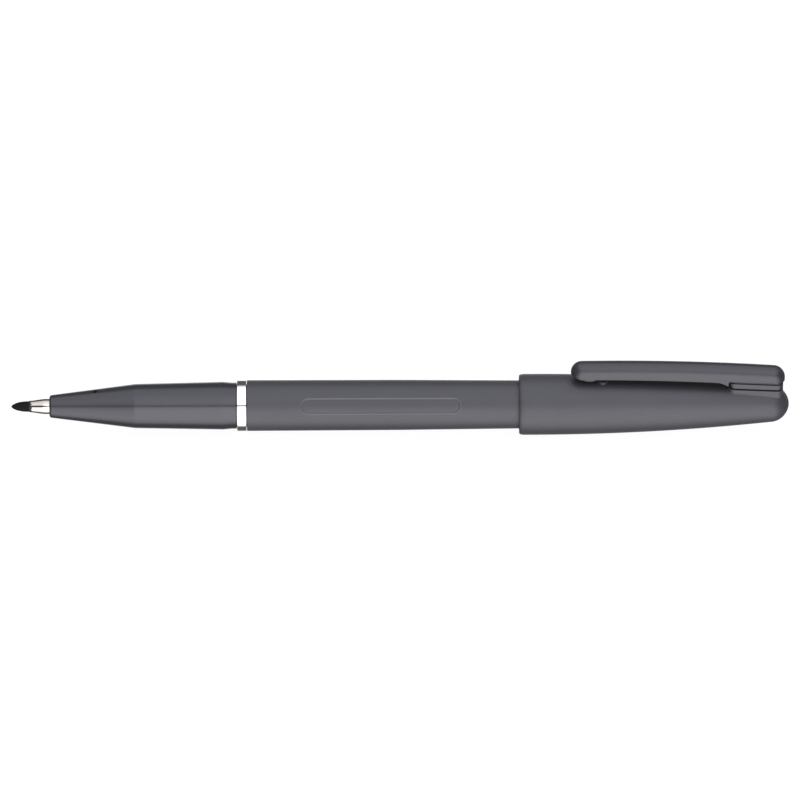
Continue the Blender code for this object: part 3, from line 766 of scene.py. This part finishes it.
class PEN_OT_trim_ring(bpy.types.Operator):
    """Make the bright ring between the grip and the barrel"""

    bl_idname = "pen.trim_ring"
    bl_label = "Trim ring"

    def execute(self, context):
        sizes, colors = context.scene.pen_sizes, context.scene.pen_colors
        front, rear = node_span("trim_ring")
        bore = 4.3 * MM
        outline = filleted(
            [
                (front, bore, 0.05 * MM),
                (front, sizes.ring_radius, 0.09 * MM),
                (rear, sizes.ring_radius, 0.09 * MM),
                (rear, bore, 0.05 * MM),
            ],
            closed=True,
        )
        chrome = pen_material(bright_plating, "chromium_plated", colors.chrome)
        grid = swept(supported(outline, closed=True), even_angles(160))
        ring = skin("ring_plated", grid, chrome, close_rows=True)
        place(ring, "pen", "chrome", "trim_ring")
        return {"FINISHED"}


# Barrel and what it holds


PANEL_X = -3.85 * MM
PANEL_TURN = math.radians(58)


def outside_panel(sizes, x, angles):
    """How far a point of the barrel is outside the oval panel's outline, negative inside.

    It is the distance to the panel's middle line, less half the panel's width.
    """
    half_length, half_width = sizes.badge_length / 2, sizes.badge_width / 2
    straight = half_length - half_width
    beyond = x - np.clip(x, PANEL_X - straight, PANEL_X + straight)
    return np.hypot(beyond, (angles - PANEL_TURN) * sizes.barrel_radius) - half_width


class PEN_OT_barrel(bpy.types.Operator):
    """Make the barrel, with a recessed oval panel that has a fine raised lip"""

    bl_idname = "pen.barrel"
    bl_label = "Barrel"

    def execute(self, context):
        sizes = context.scene.pen_sizes
        front, rear = node_span("barrel")
        bore, socket, socket_depth = 3.8 * MM, 4.3 * MM, 10.8 * MM
        middle = sizes.barrel_radius - 0.06 * MM
        stops_x = [front, 0, CAP_MOUTH, rear]
        stops_r = [sizes.barrel_radius, middle, sizes.barrel_taper, sizes.tail_radius]
        half_length, half_width = sizes.badge_length / 2, sizes.badge_width / 2
        margin, tail_start = 0.35 * MM, rear - 0.2 * MM
        edges = PANEL_X - half_length - margin, PANEL_X + half_length + margin
        bends = PANEL_X - half_length + half_width, PANEL_X + half_length - half_width
        bends = bends[0] + 0.1 * MM, bends[1] - 0.1 * MM
        lip = filleted(
            [(front, socket, 0.05 * MM), (front, sizes.barrel_radius, 0.12 * MM), (0, middle, 0)]
        )[:-1]
        lip = lip[lip[:, 1] > socket]
        xs = np.concatenate(
            [
                np.linspace(lip[-1, 0] + SUPPORT, edges[0], 8)[:-1],
                np.linspace(edges[0], bends[0], 38)[:-1],
                np.linspace(bends[0], bends[1], 20)[:-1],
                np.linspace(bends[1], edges[1], 38)[:-1],
                np.linspace(edges[1], tail_start, 16),
            ]
        )
        wall = np.stack([xs, np.interp(xs, stops_x, stops_r)], axis=1)
        inner = filleted(
            [
                (tail_start, sizes.tail_radius, 0),
                (rear, sizes.tail_radius, 0.1 * MM),
                (rear, bore, 0.1 * MM),
                (front + socket_depth, bore, 0.1 * MM),
                (front + socket_depth, socket, 0.1 * MM),
                (front, socket, 0),
            ]
        )[1:]
        outline = np.concatenate([lip, wall, supported(inner)])
        is_wall = np.zeros(len(outline), bool)
        is_wall[len(lip) : len(lip) + len(wall)] = True

        # The panel is sunk with a smooth step at its outline, and a narrow bell raises a lip round it.
        angles = angles_with_detail(PANEL_TURN, (half_width + margin) / sizes.barrel_radius, 60, 110)
        outside = outside_panel(sizes, outline[:, 0, None], angles)
        recess = sizes.badge_depth * smooth_step(-outside / (0.2 * MM))
        bell = 0.05 * MM * np.exp(-(((outside - 0.04 * MM) / (0.1 * MM)) ** 2))
        grid = swept(outline, angles, (bell - recess) * is_wall[:, None])
        barrel = skin("barrel_moulded", grid, matte_grey(context), close_rows=True)
        # The lip round the panel gets a painted highlight through a mesh attribute.
        self.mark_painted_lip_highlight(sizes, barrel.data)
        place(barrel, "pen", "matte_grey", "barrel")
        return {"FINISHED"}

    def mark_painted_lip_highlight(self, sizes, mesh):
        """The attribute that says where the panel's lip gets a painted highlight: a narrow bell along its
        outline.
        """
        points = np.empty(len(mesh.vertices) * 3, np.float32)
        mesh.vertices.foreach_get("co", points)
        x, y, z = points.reshape(-1, 3).astype(np.float64).T
        z -= AXIS_HEIGHT
        outside = outside_panel(sizes, x, np.arctan2(-y, z))
        bell = np.exp(-(((outside - 0.02 * MM) / (0.1 * MM)) ** 2))
        # The painted highlight stays on the outside surface.
        painted_lip_highlight = bell * (np.hypot(y, z) > 4.5 * MM)
        attribute = mesh.attributes.new("painted_lip_highlight", "FLOAT", "POINT")
        attribute.data.foreach_set("value", painted_lip_highlight.astype(np.float32))


class PEN_OT_tail_plug(bpy.types.Operator):
    """Make the plug that closes the barrel"""

    bl_idname = "pen.tail_plug"
    bl_label = "Tail plug"

    def execute(self, context):
        front, tail = node_span("tail_plug")
        head, dimple, socket = tail - 1.5 * MM, tail - 0.4 * MM, front + 4.6 * MM
        head_radius, stem_radius, socket_radius = 4.36 * MM, 3.68 * MM, 2.9 * MM
        outline = filleted(
            [
                (dimple, 0, 0),
                (dimple, 0.75 * MM, 0.3 * MM),
                (tail, 1.5 * MM, 0.3 * MM),
                (tail, head_radius, 0.5 * MM),
                (head, head_radius, 0.08 * MM),
                (head, stem_radius, 0.05 * MM),
                (front, stem_radius, 0.3 * MM),
                (front, socket_radius, 0.1 * MM),
                (socket, socket_radius, 0.3 * MM),
                (socket, 0, 0),
            ]
        )
        plug = skin("plug_moulded", swept(supported(outline), even_angles(96)), matte_grey(context))
        place(plug, "pen", "matte_grey", "tail_plug")
        return {"FINISHED"}


class PEN_OT_ink_system(bpy.types.Operator):
    """Make the ink core, the film round it and the holder that centres the nib"""

    bl_idname = "pen.ink_system"
    bl_label = "Ink core, film and nib holder"

    def execute(self, context):
        self.make_core(context.scene.pen_colors)
        self.make_film(context.scene.pen_colors)
        self.make_holder(liner_plastic(context))
        return {"FINISHED"}

    def make_core(self, colors):
        """A rod with a blind bore that takes the nib's stem."""
        front, rear = node_span("ink_core")
        core_radius, bore, bore_depth = 3.15 * MM, 1.05 * MM, 5.6 * MM
        outline = filleted(
            [
                (front + bore_depth, 0, 0),
                (front + bore_depth, bore, 0),
                (front, bore, 0.1 * MM),
                (front, core_radius, 0.25 * MM),
                (rear, core_radius, 0.25 * MM),
                (rear, 0, 0),
            ]
        )
        fibre = pen_material(bonded_fibre, "polyester_bonded", colors.fibre, colors.ink)
        core = skin("core_bonded", swept(supported(outline), even_angles(72)), fibre)
        place(core, "pen", "white_fibre", "ink_core")

    def make_film(self, colors):
        """A thin tube round the core."""
        front, rear = node_span("core_film")
        inside, outside = 3.30 * MM, 3.42 * MM
        outline = np.array([(front, inside), (front, outside), (rear, outside), (rear, inside)])
        grid = swept(supported(outline, closed=True), even_angles(72))
        clear = pen_material(wrapping_film, "film_clear", colors.film)
        film = skin("film_wrapped", grid, clear, close_rows=True)
        place(film, "pen", "clear_film", "core_film")

    def make_holder(self, plastic):
        """A hub whose radius steps out to the chamber's wall in four thin fins."""
        front, rear = node_span("nib_holder")
        bore, hub, inset = 1.0 * MM, 1.45 * MM, 0.2 * MM
        fin_half, fin_middle, air = 0.25 * MM, 1.8 * MM, 0.15 * MM
        corners = [
            (front, bore, 0),
            (front, hub, 0.05 * MM),
            (front + inset, hub, 0),
            (rear - inset, hub, 0),
            (rear, hub, 0.05 * MM),
            (rear, bore, 0),
        ]
        outline = supported(filleted(corners), closed=True)
        x, radius = outline.T[..., None]
        angles = even_angles(160)
        quarter = (angles + math.pi / 4) % (math.pi / 2) - math.pi / 4
        on_hub = (x > front + inset) & (x < rear - inset) & (radius > hub - 0.05 * MM)
        fin = (np.abs(quarter) * fin_middle < fin_half) & on_hub
        lip = node_span("section")[0]
        chamber = np.interp(x, [lip + CHAMBER_FRONT, lip + CHAMBER_REAR], CHAMBER_RADII)
        grid = turned(x, np.where(fin, chamber - air, radius), angles)
        holder = skin("holder_moulded", grid, plastic, close_rows=True)
        place(holder, "pen", "soft_liner", "nib_holder")


# Cap


CAP_STRAIGHT = 3.0 * MM
CAP_TAPER = 47.65 * MM
CAP_ROUND = 1.1 * MM
DOME_START = CAP_MOUTH + CAP_STRAIGHT + CAP_TAPER
NUB_X = 40.5 * MM

# The clip's foot: where it stands, its sloping top and bottom from the axis, and the gaps round it.
FOOT_FRONT = 65.55 * MM
FOOT_REAR = 76.5 * MM
FOOT_CORNER = 1.3 * MM
FOOT_TOP = (6.38 * MM, 5.79 * MM)
FOOT_BOTTOM = (4.92 * MM, 4.38 * MM)
FOOT_SEAM = 0.15 * MM
FOOT_GAP = 0.30 * MM
FOOT_NOSE = 1.2 * MM


def cap_radius(sizes, x):
    """Outer radius of the cap: a straight mouth, a parabola, then half an ellipse with the same slope."""
    depth = x - CAP_MOUTH
    share = np.clip((depth - CAP_STRAIGHT) / CAP_TAPER, 0, 1)
    body = sizes.cap_radius - sizes.cap_drop * share**2
    past = np.clip((x - DOME_START) / (CAP_END - DOME_START), 0, 1)
    slope = 2 * sizes.cap_drop / CAP_TAPER
    dome = (body - slope * past * (CAP_END - DOME_START)) * np.sqrt(1 - past**2)
    mouth = np.clip(1 - depth / CAP_ROUND, 0, 1)
    rounding = 0.35 * MM * (1 - np.sqrt(1 - mouth**2))
    return dome - rounding


def foot_level(level, x):
    """A sloping level of the clip's foot, given at its front and rear, as a distance from the axis."""
    return level[0] + (level[1] - level[0]) * (x - FOOT_FRONT) / (FOOT_REAR - FOOT_FRONT)


def foot_half_width(sizes, x):
    """Half the width of the foot's outline, a rectangle with round corners, at x."""
    nearest = np.minimum(x - FOOT_FRONT, FOOT_REAR - x)
    into = np.clip(FOOT_CORNER - nearest, 0, FOOT_CORNER)
    corner = np.sqrt(FOOT_CORNER**2 - into**2) - FOOT_CORNER
    return np.where(nearest >= 0, sizes.clip_half_width + corner, 0)


def boss_radius(sizes, x, angles):
    """The boss under the foot, seen from the axis: its flat top, or its side walls where they are nearer."""
    top = (foot_level(FOOT_BOTTOM, x) - FOOT_GAP / 2) / np.maximum(np.cos(angles), 0.2)
    side = foot_half_width(sizes, x) / np.maximum(np.abs(np.sin(angles)), 1e-3)
    side = np.where((np.cos(angles) > 0) & (side > 0), side, 0)
    return np.where(side > 0, soft_min(top, side, 0.12 * MM), 0)


class PEN_OT_cap(bpy.types.Operator):
    """Make the cap: a tapered shell with a domed end, ribs inside, and the clip's boss and nub outside"""

    bl_idname = "pen.cap"
    bl_label = "Cap"

    def execute(self, context):
        sizes = context.scene.pen_sizes
        angles = angles_with_detail(0, math.radians(42), 121, 100)
        inner_x, inner = self.inside(sizes, angles)
        xs = self.outside_rows()
        outer = self.outside(sizes, xs[:, None], angles)
        rows_x = np.concatenate([inner_x[::-1], xs])[:, None]
        rows_r = np.concatenate([inner[::-1], outer])
        cap = skin("cap_moulded", turned(rows_x, rows_r, angles), matte_grey(context))
        place(cap, "cap", "matte_grey", "cap_shell")
        return {"FINISHED"}

    def outside_rows(self):
        """Places along the cap's outside, close together at the lip, nub, boss and dome."""
        return np.concatenate(
            [
                CAP_MOUTH + CAP_ROUND * (1 - np.cos(np.linspace(0, math.pi / 2, 12))),
                np.linspace(CAP_MOUTH + CAP_ROUND + SUPPORT, NUB_X - 1.5 * MM, 16),
                np.linspace(NUB_X - 1.3 * MM, NUB_X + 1.3 * MM, 27),
                np.linspace(NUB_X + 1.5 * MM, FOOT_FRONT - 0.5 * MM, 24),
                np.linspace(FOOT_FRONT - 0.4 * MM, FOOT_FRONT - 0.04 * MM, 10),
                cosine_steps(FOOT_FRONT, FOOT_FRONT + FOOT_CORNER, 26),
                np.linspace(FOOT_FRONT + FOOT_CORNER, FOOT_REAR - FOOT_CORNER, 16)[1:-1],
                cosine_steps(FOOT_REAR, FOOT_REAR - FOOT_CORNER, 26)[::-1],
                np.linspace(FOOT_REAR + 0.04 * MM, FOOT_REAR + 0.3 * MM, 8),
                CAP_END - (CAP_END - FOOT_REAR - 0.35 * MM) * np.linspace(1, 0, 24) ** 2,
            ]
        )

    def outside(self, sizes, x, angles):
        """The cap's outer radius, with the nub and the boss that carries the clip's foot.

        The nub is one less the squares of the shares of its half length and half width.
        """
        base = cap_radius(sizes, x) + 0 * angles
        bump = 1 - ((x - NUB_X) / (1.2 * MM)) ** 2 - (base * np.sin(angles) / (1.6 * MM)) ** 2
        nub = 0.35 * MM * smooth_step(np.clip(bump, 0, 1) * 2) * (np.cos(angles) > 0)
        outer = soft_max(base + nub, boss_radius(sizes, x, angles), 0.1 * MM)
        return base + (outer - base) * np.clip((CAP_END - x) / (0.6 * MM), 0, 1)

    def inside(self, sizes, angles):
        """Places along the cap's inside, from its mouth to its floor, and the radius there at each angle.

        The bore keeps a wall under the outside, and six ribs, each a flat-topped bell, stand on it as far
        as the posted barrel.
        """
        wall_mouth, wall_inside, thinned = 0.85 * MM, 0.74 * MM, 32.6 * MM
        rib_front, rib_rear, rib_ramp, rib_play = 3.6 * MM, 24.4 * MM, 0.8 * MM, 0.08 * MM
        rib_radius, rib_half_width, chamfer = 5 * MM, 0.35 * MM, 0.15 * MM
        depth = np.concatenate(
            [
                np.array([0, 0.05, 0.15, 0.3, 1.0, 3.6, 4.0, 4.4]) * MM,
                np.linspace(6 * MM, 23.6 * MM, 10),
                np.array([24.0, 24.4, 27]) * MM,
                np.linspace(30 * MM, CAP_STRAIGHT + CAP_TAPER, 12),
            ]
        )
        wall = wall_mouth + (wall_inside - wall_mouth) * np.clip(depth / thinned, 0, 1)
        bore = cap_radius(sizes, CAP_MOUTH + np.maximum(depth, CAP_ROUND)) - wall
        bore += chamfer * np.clip(1 - depth / chamfer, 0, 1)
        share = depth / (node_span("barrel")[1] - CAP_MOUTH)
        barrel = sizes.barrel_taper + (sizes.tail_radius - sizes.barrel_taper) * share
        sixth = angles % (math.pi / 3) - math.pi / 6
        rib = np.exp(-((sixth * rib_radius / rib_half_width) ** 4))
        along = smooth_step((depth - rib_front) / rib_ramp) * smooth_step((rib_rear - depth) / rib_ramp)
        proud = np.clip(bore - barrel - rib_play, 0, None) * along
        ribbed = bore[:, None] - proud[:, None] * rib
        floor = CAP_END - 1.6 * MM
        floor_x = floor - np.array([0.6, 0.2, 0, 0, 0]) * MM
        floor_r = bore[-1] * np.array([0.86, 0.72, 0.6, 0.3, 0])[:, None] + 0 * angles
        return np.concatenate([CAP_MOUTH + depth, floor_x]), np.concatenate([ribbed, floor_r])


class PEN_OT_inner_cap(bpy.types.Operator):
    """Make the soft liner that seals the nib when the cap closes the writing end"""

    bl_idname = "pen.inner_cap"
    bl_label = "Inner cap"

    def execute(self, context):
        sizes = context.scene.pen_sizes
        front, rear = node_span("inner_cap")
        xs = np.linspace(front, rear, 5)
        outer = cap_radius(sizes, xs) - 0.84 * MM
        seal, floor = 3.05 * MM, rear - 0.8 * MM
        corners = [
            (floor, 0, 0),
            (floor, 1.4 * MM, 0.3 * MM),
            (CAP_MOUTH + 48.5 * MM, 2.3 * MM, 1.0 * MM),
            (CAP_MOUTH + 42 * MM, seal, 2.0 * MM),
            (front + 1.0 * MM, 3.4 * MM, 0.2 * MM),
            (front + 0.6 * MM, seal, 0.15 * MM),
            (front, seal, 0.2 * MM),
            (front, outer[0], 0.2 * MM),
            *[(x, r, 1.0 * MM) for x, r in zip(xs[1:-1], outer[1:-1])],
            (rear, outer[-1], 0.3 * MM),
            (rear, 0, 0),
        ]
        grid = swept(supported(filleted(corners)), even_angles(96))
        liner = skin("liner_moulded", grid, liner_plastic(context))
        place(liner, "cap_liner", "soft_liner", "inner_cap")
        return {"FINISHED"}


# Clip


# The back is highest at its crest and falls 1.22 mm over 32.4 mm. The side is given there, and how much
# it grows per length towards the foot. The tip loses a share of it as it turns up.
CLIP_CREST = 42.0 * MM
CLIP_BOW = 1.22 * MM / (32.4 * MM) ** 2
CLIP_SIDE = 0.83 * MM
CLIP_FLARE = 0.0105
TIP_RISE = 0.85
BUMP_X = 37.85 * MM
BUMP_REACH = 1.3 * MM
HEEL_START = 63.4 * MM
HEEL_END = FOOT_FRONT - 0.1 * MM
HEEL_DROP = 0.78 * MM


def clip_back(sizes, x):
    """From the axis to the middle of the clip's half-round back: a shallow parabola."""
    return sizes.clip_height - CLIP_BOW * (x - CLIP_CREST) ** 2


def clip_side(sizes, x):
    """Height of the clip's straight side: it grows evenly, then more at the heel, and the groove cuts it."""
    heel = HEEL_DROP * np.clip((x - HEEL_START) / (HEEL_END - HEEL_START), 0, 1) ** 1.6
    free = CLIP_SIDE + CLIP_FLARE * (x - CLIP_CREST) + heel
    seated = clip_back(sizes, x) - foot_level(FOOT_TOP, x) - FOOT_SEAM
    share = smooth_step((x - HEEL_END) / (0.2 * MM))
    return free + (seated - free) * share


def clip_section():
    """Weights of the clip's outline, from the back's left edge over the top and round.

    A point is y = a w + b c and z = back + p w - q side + g c, where w is the half width here and c
    the radius of the lower edges. The last weight tells the underside from the rest.
    """
    arch = np.linspace(0, math.pi, 41)
    zero = 0 * arch
    back = np.stack([np.cos(arch), zero, np.sin(arch), zero, zero, zero], axis=1)
    drop = np.array([0.12, 0.5, 0.8])
    flat = 0 * drop
    side = np.stack([flat - 1, flat, flat, drop * 0.9, flat, flat], axis=1)
    bend = np.linspace(0, math.pi / 2, 7)
    corner = np.stack(
        [0 * bend - 1, 1 - np.cos(bend), 0 * bend, 0 * bend + 1, 1 - np.sin(bend), 0 * bend + 1],
        axis=1,
    )
    under = np.linspace(-1, 1, 15)[1:-1]
    bottom = np.stack([under, -under, 0 * under, 0 * under + 1, 0 * under, 0 * under + 1], axis=1)
    mirror = np.array([-1, -1, 1, 1, 1, 1])
    return np.concatenate([back, side, corner, bottom, (corner * mirror)[::-1], (side * mirror)[::-1]])


class PEN_OT_clip(bpy.types.Operator):
    """Make the clip, curved from its foot to its tip, and the foot it stands on"""

    bl_idname = "pen.clip"
    bl_label = "Clip"

    def execute(self, context):
        sizes = context.scene.pen_sizes
        tip, end = node_span("clip_arm")[0], node_span("clip_root")[1]
        half = sizes.clip_half_width
        xs = np.concatenate(
            [
                cosine_steps(tip, tip + half, 20),
                np.linspace(tip + half + 0.1 * MM, BUMP_X - BUMP_REACH - 0.1 * MM, 3),
                np.linspace(BUMP_X - BUMP_REACH, BUMP_X + BUMP_REACH, 27),
                np.linspace(BUMP_X + BUMP_REACH + 0.2 * MM, HEEL_START, 40),
                np.linspace(HEEL_START + 0.15 * MM, HEEL_END - 0.02 * MM, 16),
                np.linspace(HEEL_END, HEEL_END + 0.2 * MM, 9),
                np.linspace(FOOT_FRONT + 0.3 * MM, end - half - 0.1 * MM, 16),
                cosine_steps(end, end - half, 20)[::-1],
            ]
        )
        # The half width is that of a half circle at both ends, and half elsewhere.
        from_end = np.clip(half - np.minimum(xs - tip, end - xs), 0, half)
        width = np.sqrt(np.maximum(half**2 - from_end**2, 0))[:, None]
        a, b, p, q, g, underside = clip_section().T
        corner = 0.22 * MM * width / half
        y = a * width + b * corner
        turned_up = TIP_RISE * np.clip((tip + half - xs) / half, 0, 1) ** 1.3
        side = (clip_side(sizes, xs) * (1 - turned_up))[:, None]
        z = clip_back(sizes, xs)[:, None] + p * width - q * side + g * corner
        # The bump under the tip is a flat-topped bell along the clip, and a parabola across it.
        bell = (1 - np.clip((xs - BUMP_X) / BUMP_REACH, -1, 1) ** 4) ** 2
        crown = 0.30 * MM + 0.63 * MM * (1 - (y / half) ** 2)
        z -= bell[:, None] * crown * underside
        grid = np.stack([xs[:, None] + 0 * y, y, AXIS_HEIGHT + z], axis=-1)
        clip = skin("clip_moulded", grid, satin_grey(context))
        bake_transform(clip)
        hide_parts("clip_arm", "clip_root")

        foot = skin("clip_foot_moulded", self.foot_grid(sizes), satin_grey(context))
        place(foot, "cap", "gloss_grey", "clip_root")
        return {"FINISHED"}

    def foot_grid(self, sizes):
        """The foot's outline carried up from its rounded lower edge to a neck inside the clip.

        The outline is a rectangle with round corners. Each row is drawn in by its first number, and lies
        at its second number's share of the way from the bottom to the top, plus its third number.
        """
        half, edge, neck, overlap = sizes.clip_half_width, 0.15 * MM, 0.3 * MM, 2.5 * FOOT_SEAM
        rounding = [(edge * (1 - math.cos(t)), edge * (1 - math.sin(t))) for t in (0, 0.2, 0.6, 1.1, 1.57)]
        low = [(inward, 0, rise) for inward, rise in rounding]
        high = [(inward, 1, -rise) for inward, rise in rounding]
        rows = [(half, 0, 0), (2 * edge, 0, 0), *reversed(low), *high]
        rows += [(neck, 1, 0), (neck, 1, overlap), (half, 1, overlap)]
        inward, share, rise = np.array(rows).T[..., None]

        corner_x, corner_y = np.repeat([[1, 1, -1, -1], [-1, 1, 1, -1]], 9, axis=1)
        bend = np.linspace(-math.pi / 2, 0, 9)
        angle = (np.arange(4)[:, None] * math.pi / 2 + bend).ravel()
        outward = np.maximum(FOOT_CORNER - inward, 0)
        drawn_in = np.maximum(FOOT_CORNER, inward)
        middle, half_length = (FOOT_FRONT + FOOT_REAR) / 2, (FOOT_REAR - FOOT_FRONT) / 2
        x = middle + corner_x * (half_length - drawn_in) + outward * np.cos(angle)
        y = corner_y * (half - drawn_in) + outward * np.sin(angle)
        bottom = foot_level(FOOT_BOTTOM, x) + FOOT_GAP / 2
        top = foot_level(FOOT_TOP, x) - FOOT_SEAM
        z = bottom + (top - bottom) * share + rise
        # The front curves up to the top as a quarter of an ellipse.
        ahead = np.clip(1 - (x - FOOT_FRONT) / FOOT_NOSE, 0, 1)
        z = top + (z - top) * np.sqrt(1 - ahead**2)
        return np.stack([x, y, AXIS_HEIGHT + z], axis=-1)


# Studio


class PEN_OT_studio(bpy.types.Operator):
    """Make the pale floor, the soft light all round and the camera"""

    bl_idname = "pen.studio"
    bl_label = "Studio"

    def execute(self, context):
        self.make_floor()
        self.make_light(context.scene)
        self.make_panel(context.scene, "overhead_panel", 20, 4.0)
        self.make_panel(context.scene, "rear_panel", 86, 3.4)
        self.make_camera(context.scene)
        context.scene.view_settings.view_transform = "Standard"
        return {"FINISHED"}

    def make_floor(self):
        """A white acrylic table lit from inside, so that only the faintest shadow stays on it."""
        reach, level = 0.8, -0.15 * MM
        corners = [(-reach, -reach), (reach, -reach), (reach, reach), (-reach, reach)]
        mesh = bpy.data.meshes.new("table_top")
        mesh.from_pydata([(x, y, level) for x, y in corners], [], [(0, 1, 2, 3)])
        floor = bpy.data.objects.new("table_top", mesh)
        bpy.context.scene.collection.objects.link(floor)
        material, output = new_material("acrylic_lit_white")
        glow = add_node(material, "ShaderNodeEmission", {"Strength": 0.97})
        face = add_node(material, "ShaderNodeBsdfDiffuse", {"Color": toned((1, 1, 1), 0.06)})
        both = add_node(material, "ShaderNodeAddShader", {0: glow.outputs[0], 1: face.outputs[0]})
        mesh.materials.append(finish_material(material, output, both))
        floor.visible_glossy = False
        floor.visible_diffuse = False
        floor.visible_transmission = False
        floor.visible_shadow = False

    def make_light(self, scene):
        """Light from inside a long white tent that is open at both ends: a bright front half that is
        split by a narrow dark gap, a dark band behind it and a white backdrop."""
        world = bpy.data.worlds.new("tent")
        scene.world = world
        world.use_nodes = True
        world.node_tree.nodes.clear()
        output = add_node(world, "ShaderNodeOutputWorld")
        direction = add_node(world, "ShaderNodeTexCoord").outputs["Generated"]
        ahead, above, beside = [
            add_node(
                world, "ShaderNodeVectorMath", {0: direction, 1: axis}, operation="DOT_PRODUCT"
            ).outputs["Value"]
            for axis in (SIGHT, SIGHT_UP, Vector((1, 0, 0)))
        ]

        turn = add_node(world, "ShaderNodeMath", {0: above, 1: ahead}, operation="ARCTAN2").outputs[0]
        in_ramp = add_node(world, "ShaderNodeMapRange", {0: turn, 1: -math.pi, 2: math.pi}).outputs[0]
        ramp = add_node(world, "ShaderNodeValToRGB", {0: in_ramp})
        stops = ramp.color_ramp.elements
        while len(stops) > 1:
            stops.remove(stops[-1])
        for i, (degrees, level, tint) in enumerate(TENT):
            position = (degrees + 180) / 360
            stop = stops[0] if i == 0 else stops.new(position)
            stop.position = position
            stop.color = toned(tint, level / TENT_STRENGTH)

        # The lit panels are narrow beside the line of sight and wide above and below it. Beyond them the
        # open ends are nearly dark.
        window_x, spread, lit, dark = 0.08, 1.2, 0.04, 0.60
        ends = toned((1.0, 0.98, 1.02), 0.15 / TENT_STRENGTH)
        inputs = {0: beside, 1: window_x}
        sideways = add_node(world, "ShaderNodeMath", inputs, operation="SUBTRACT").outputs[0]
        distance = add_node(world, "ShaderNodeMath", {0: sideways}, operation="ABSOLUTE").outputs[0]
        height = add_node(world, "ShaderNodeMath", {0: above}, operation="ABSOLUTE").outputs[0]
        inputs = {0: height, 1: spread, 2: 1.0}
        width = add_node(world, "ShaderNodeMath", inputs, operation="MULTIPLY_ADD").outputs[0]
        aside = add_node(world, "ShaderNodeMath", {0: distance, 1: width}, operation="DIVIDE").outputs[0]
        inputs = {0: aside, 1: lit, 2: dark, 3: 1.0, 4: 0.0}
        window = add_node(world, "ShaderNodeMapRange", inputs, interpolation_type="SMOOTHSTEP").outputs[0]
        inputs = {0: window, 6: ends, 7: ramp.outputs[0]}
        tent = add_node(world, "ShaderNodeMix", inputs, data_type="RGBA").outputs[2]

        # The camera itself sees plain white behind the pen.
        sight = add_node(world, "ShaderNodeLightPath").outputs["Is Camera Ray"]
        inputs = {0: sight, 6: tent, 7: toned((1, 1, 1), 1 / TENT_STRENGTH)}
        seen = add_node(world, "ShaderNodeMix", inputs, data_type="RGBA").outputs[2]
        light = add_node(world, "ShaderNodeBackground", {0: seen, 1: TENT_STRENGTH})
        world.node_tree.links.new(light.outputs[0], output.inputs[0])

    def make_panel(self, scene, name, lean, watts):
        """A soft panel over the pen that leans to the far side by an angle, and leaves no reflection."""
        length, width, height = 0.9, 0.45, 0.8
        light = bpy.data.lights.new(name, "AREA")
        light.shape = "RECTANGLE"
        light.size, light.size_y = length, width
        light.energy = watts
        panel = bpy.data.objects.new(name, light)
        tilt = Matrix.Rotation(math.radians(-lean), 4, "X")
        panel.matrix_world = tilt @ Matrix.Translation((0, 0, height))
        panel.visible_glossy = False
        scene.collection.objects.link(panel)

    def make_camera(self, scene):
        """A long lens that looks square at the pen from above the near side."""
        view_width, lens, sensor, rise = 160 * MM, 400.0, 36.0, 0.98 * MM
        low, high = CAD_BOX
        aim = Vector(((low.x + high.x) / 2, 0, AXIS_HEIGHT)) + SIGHT_UP * rise
        camera = bpy.data.objects.new("camera", bpy.data.cameras.new("camera"))
        scene.collection.objects.link(camera)
        camera.data.lens = lens
        camera.data.sensor_width = sensor
        camera.data.clip_start = 0.01
        roll = math.radians(0.25)
        right = Vector((1, 0, 0)) * math.cos(roll) - SIGHT_UP * math.sin(roll)
        turn = Matrix((right, SIGHT.cross(right), SIGHT)).transposed().to_4x4()
        camera.matrix_world = Matrix.Translation(aim + SIGHT * view_width * lens / sensor) @ turn
        scene.camera = camera


class PEN_PT_panel(bpy.types.Panel):
    """Buttons for every piece of the pen, and the sizes and colours that they use"""

    bl_idname = "PEN_PT_panel"
    bl_label = "Lettering Pen"
    bl_space_type = "VIEW_3D"
    bl_region_type = "UI"
    bl_category = "Pen"

    def draw(self, context):
        layout = self.layout
        for maker in MAKERS:
            layout.operator(maker.bl_idname)
        for group in (context.scene.pen_sizes, context.scene.pen_colors):
            box = layout.box()
            for name in group.__annotations__:
                box.prop(group, name)


MAKERS = (
    PEN_OT_nib,
    PEN_OT_nib_sleeve,
    PEN_OT_section,
    PEN_OT_trim_ring,
    PEN_OT_barrel,
    PEN_OT_tail_plug,
    PEN_OT_ink_system,
    PEN_OT_cap,
    PEN_OT_inner_cap,
    PEN_OT_clip,
    PEN_OT_studio,
)
CLASSES = (PenSizes, PenColors, *MAKERS, PEN_PT_panel)


def register():
    for made in CLASSES:
        bpy.utils.register_class(made)
    bpy.types.Scene.pen_sizes = PointerProperty(type=PenSizes)
    bpy.types.Scene.pen_colors = PointerProperty(type=PenColors)


def unregister():
    del bpy.types.Scene.pen_colors
    del bpy.types.Scene.pen_sizes
    for made in reversed(CLASSES):
        bpy.utils.unregister_class(made)


def main():
    register()
    for maker in MAKERS:
        group, name = maker.bl_idname.split(".")
        getattr(getattr(bpy.ops, group), name)()


if __name__ == "__main__":
    main()
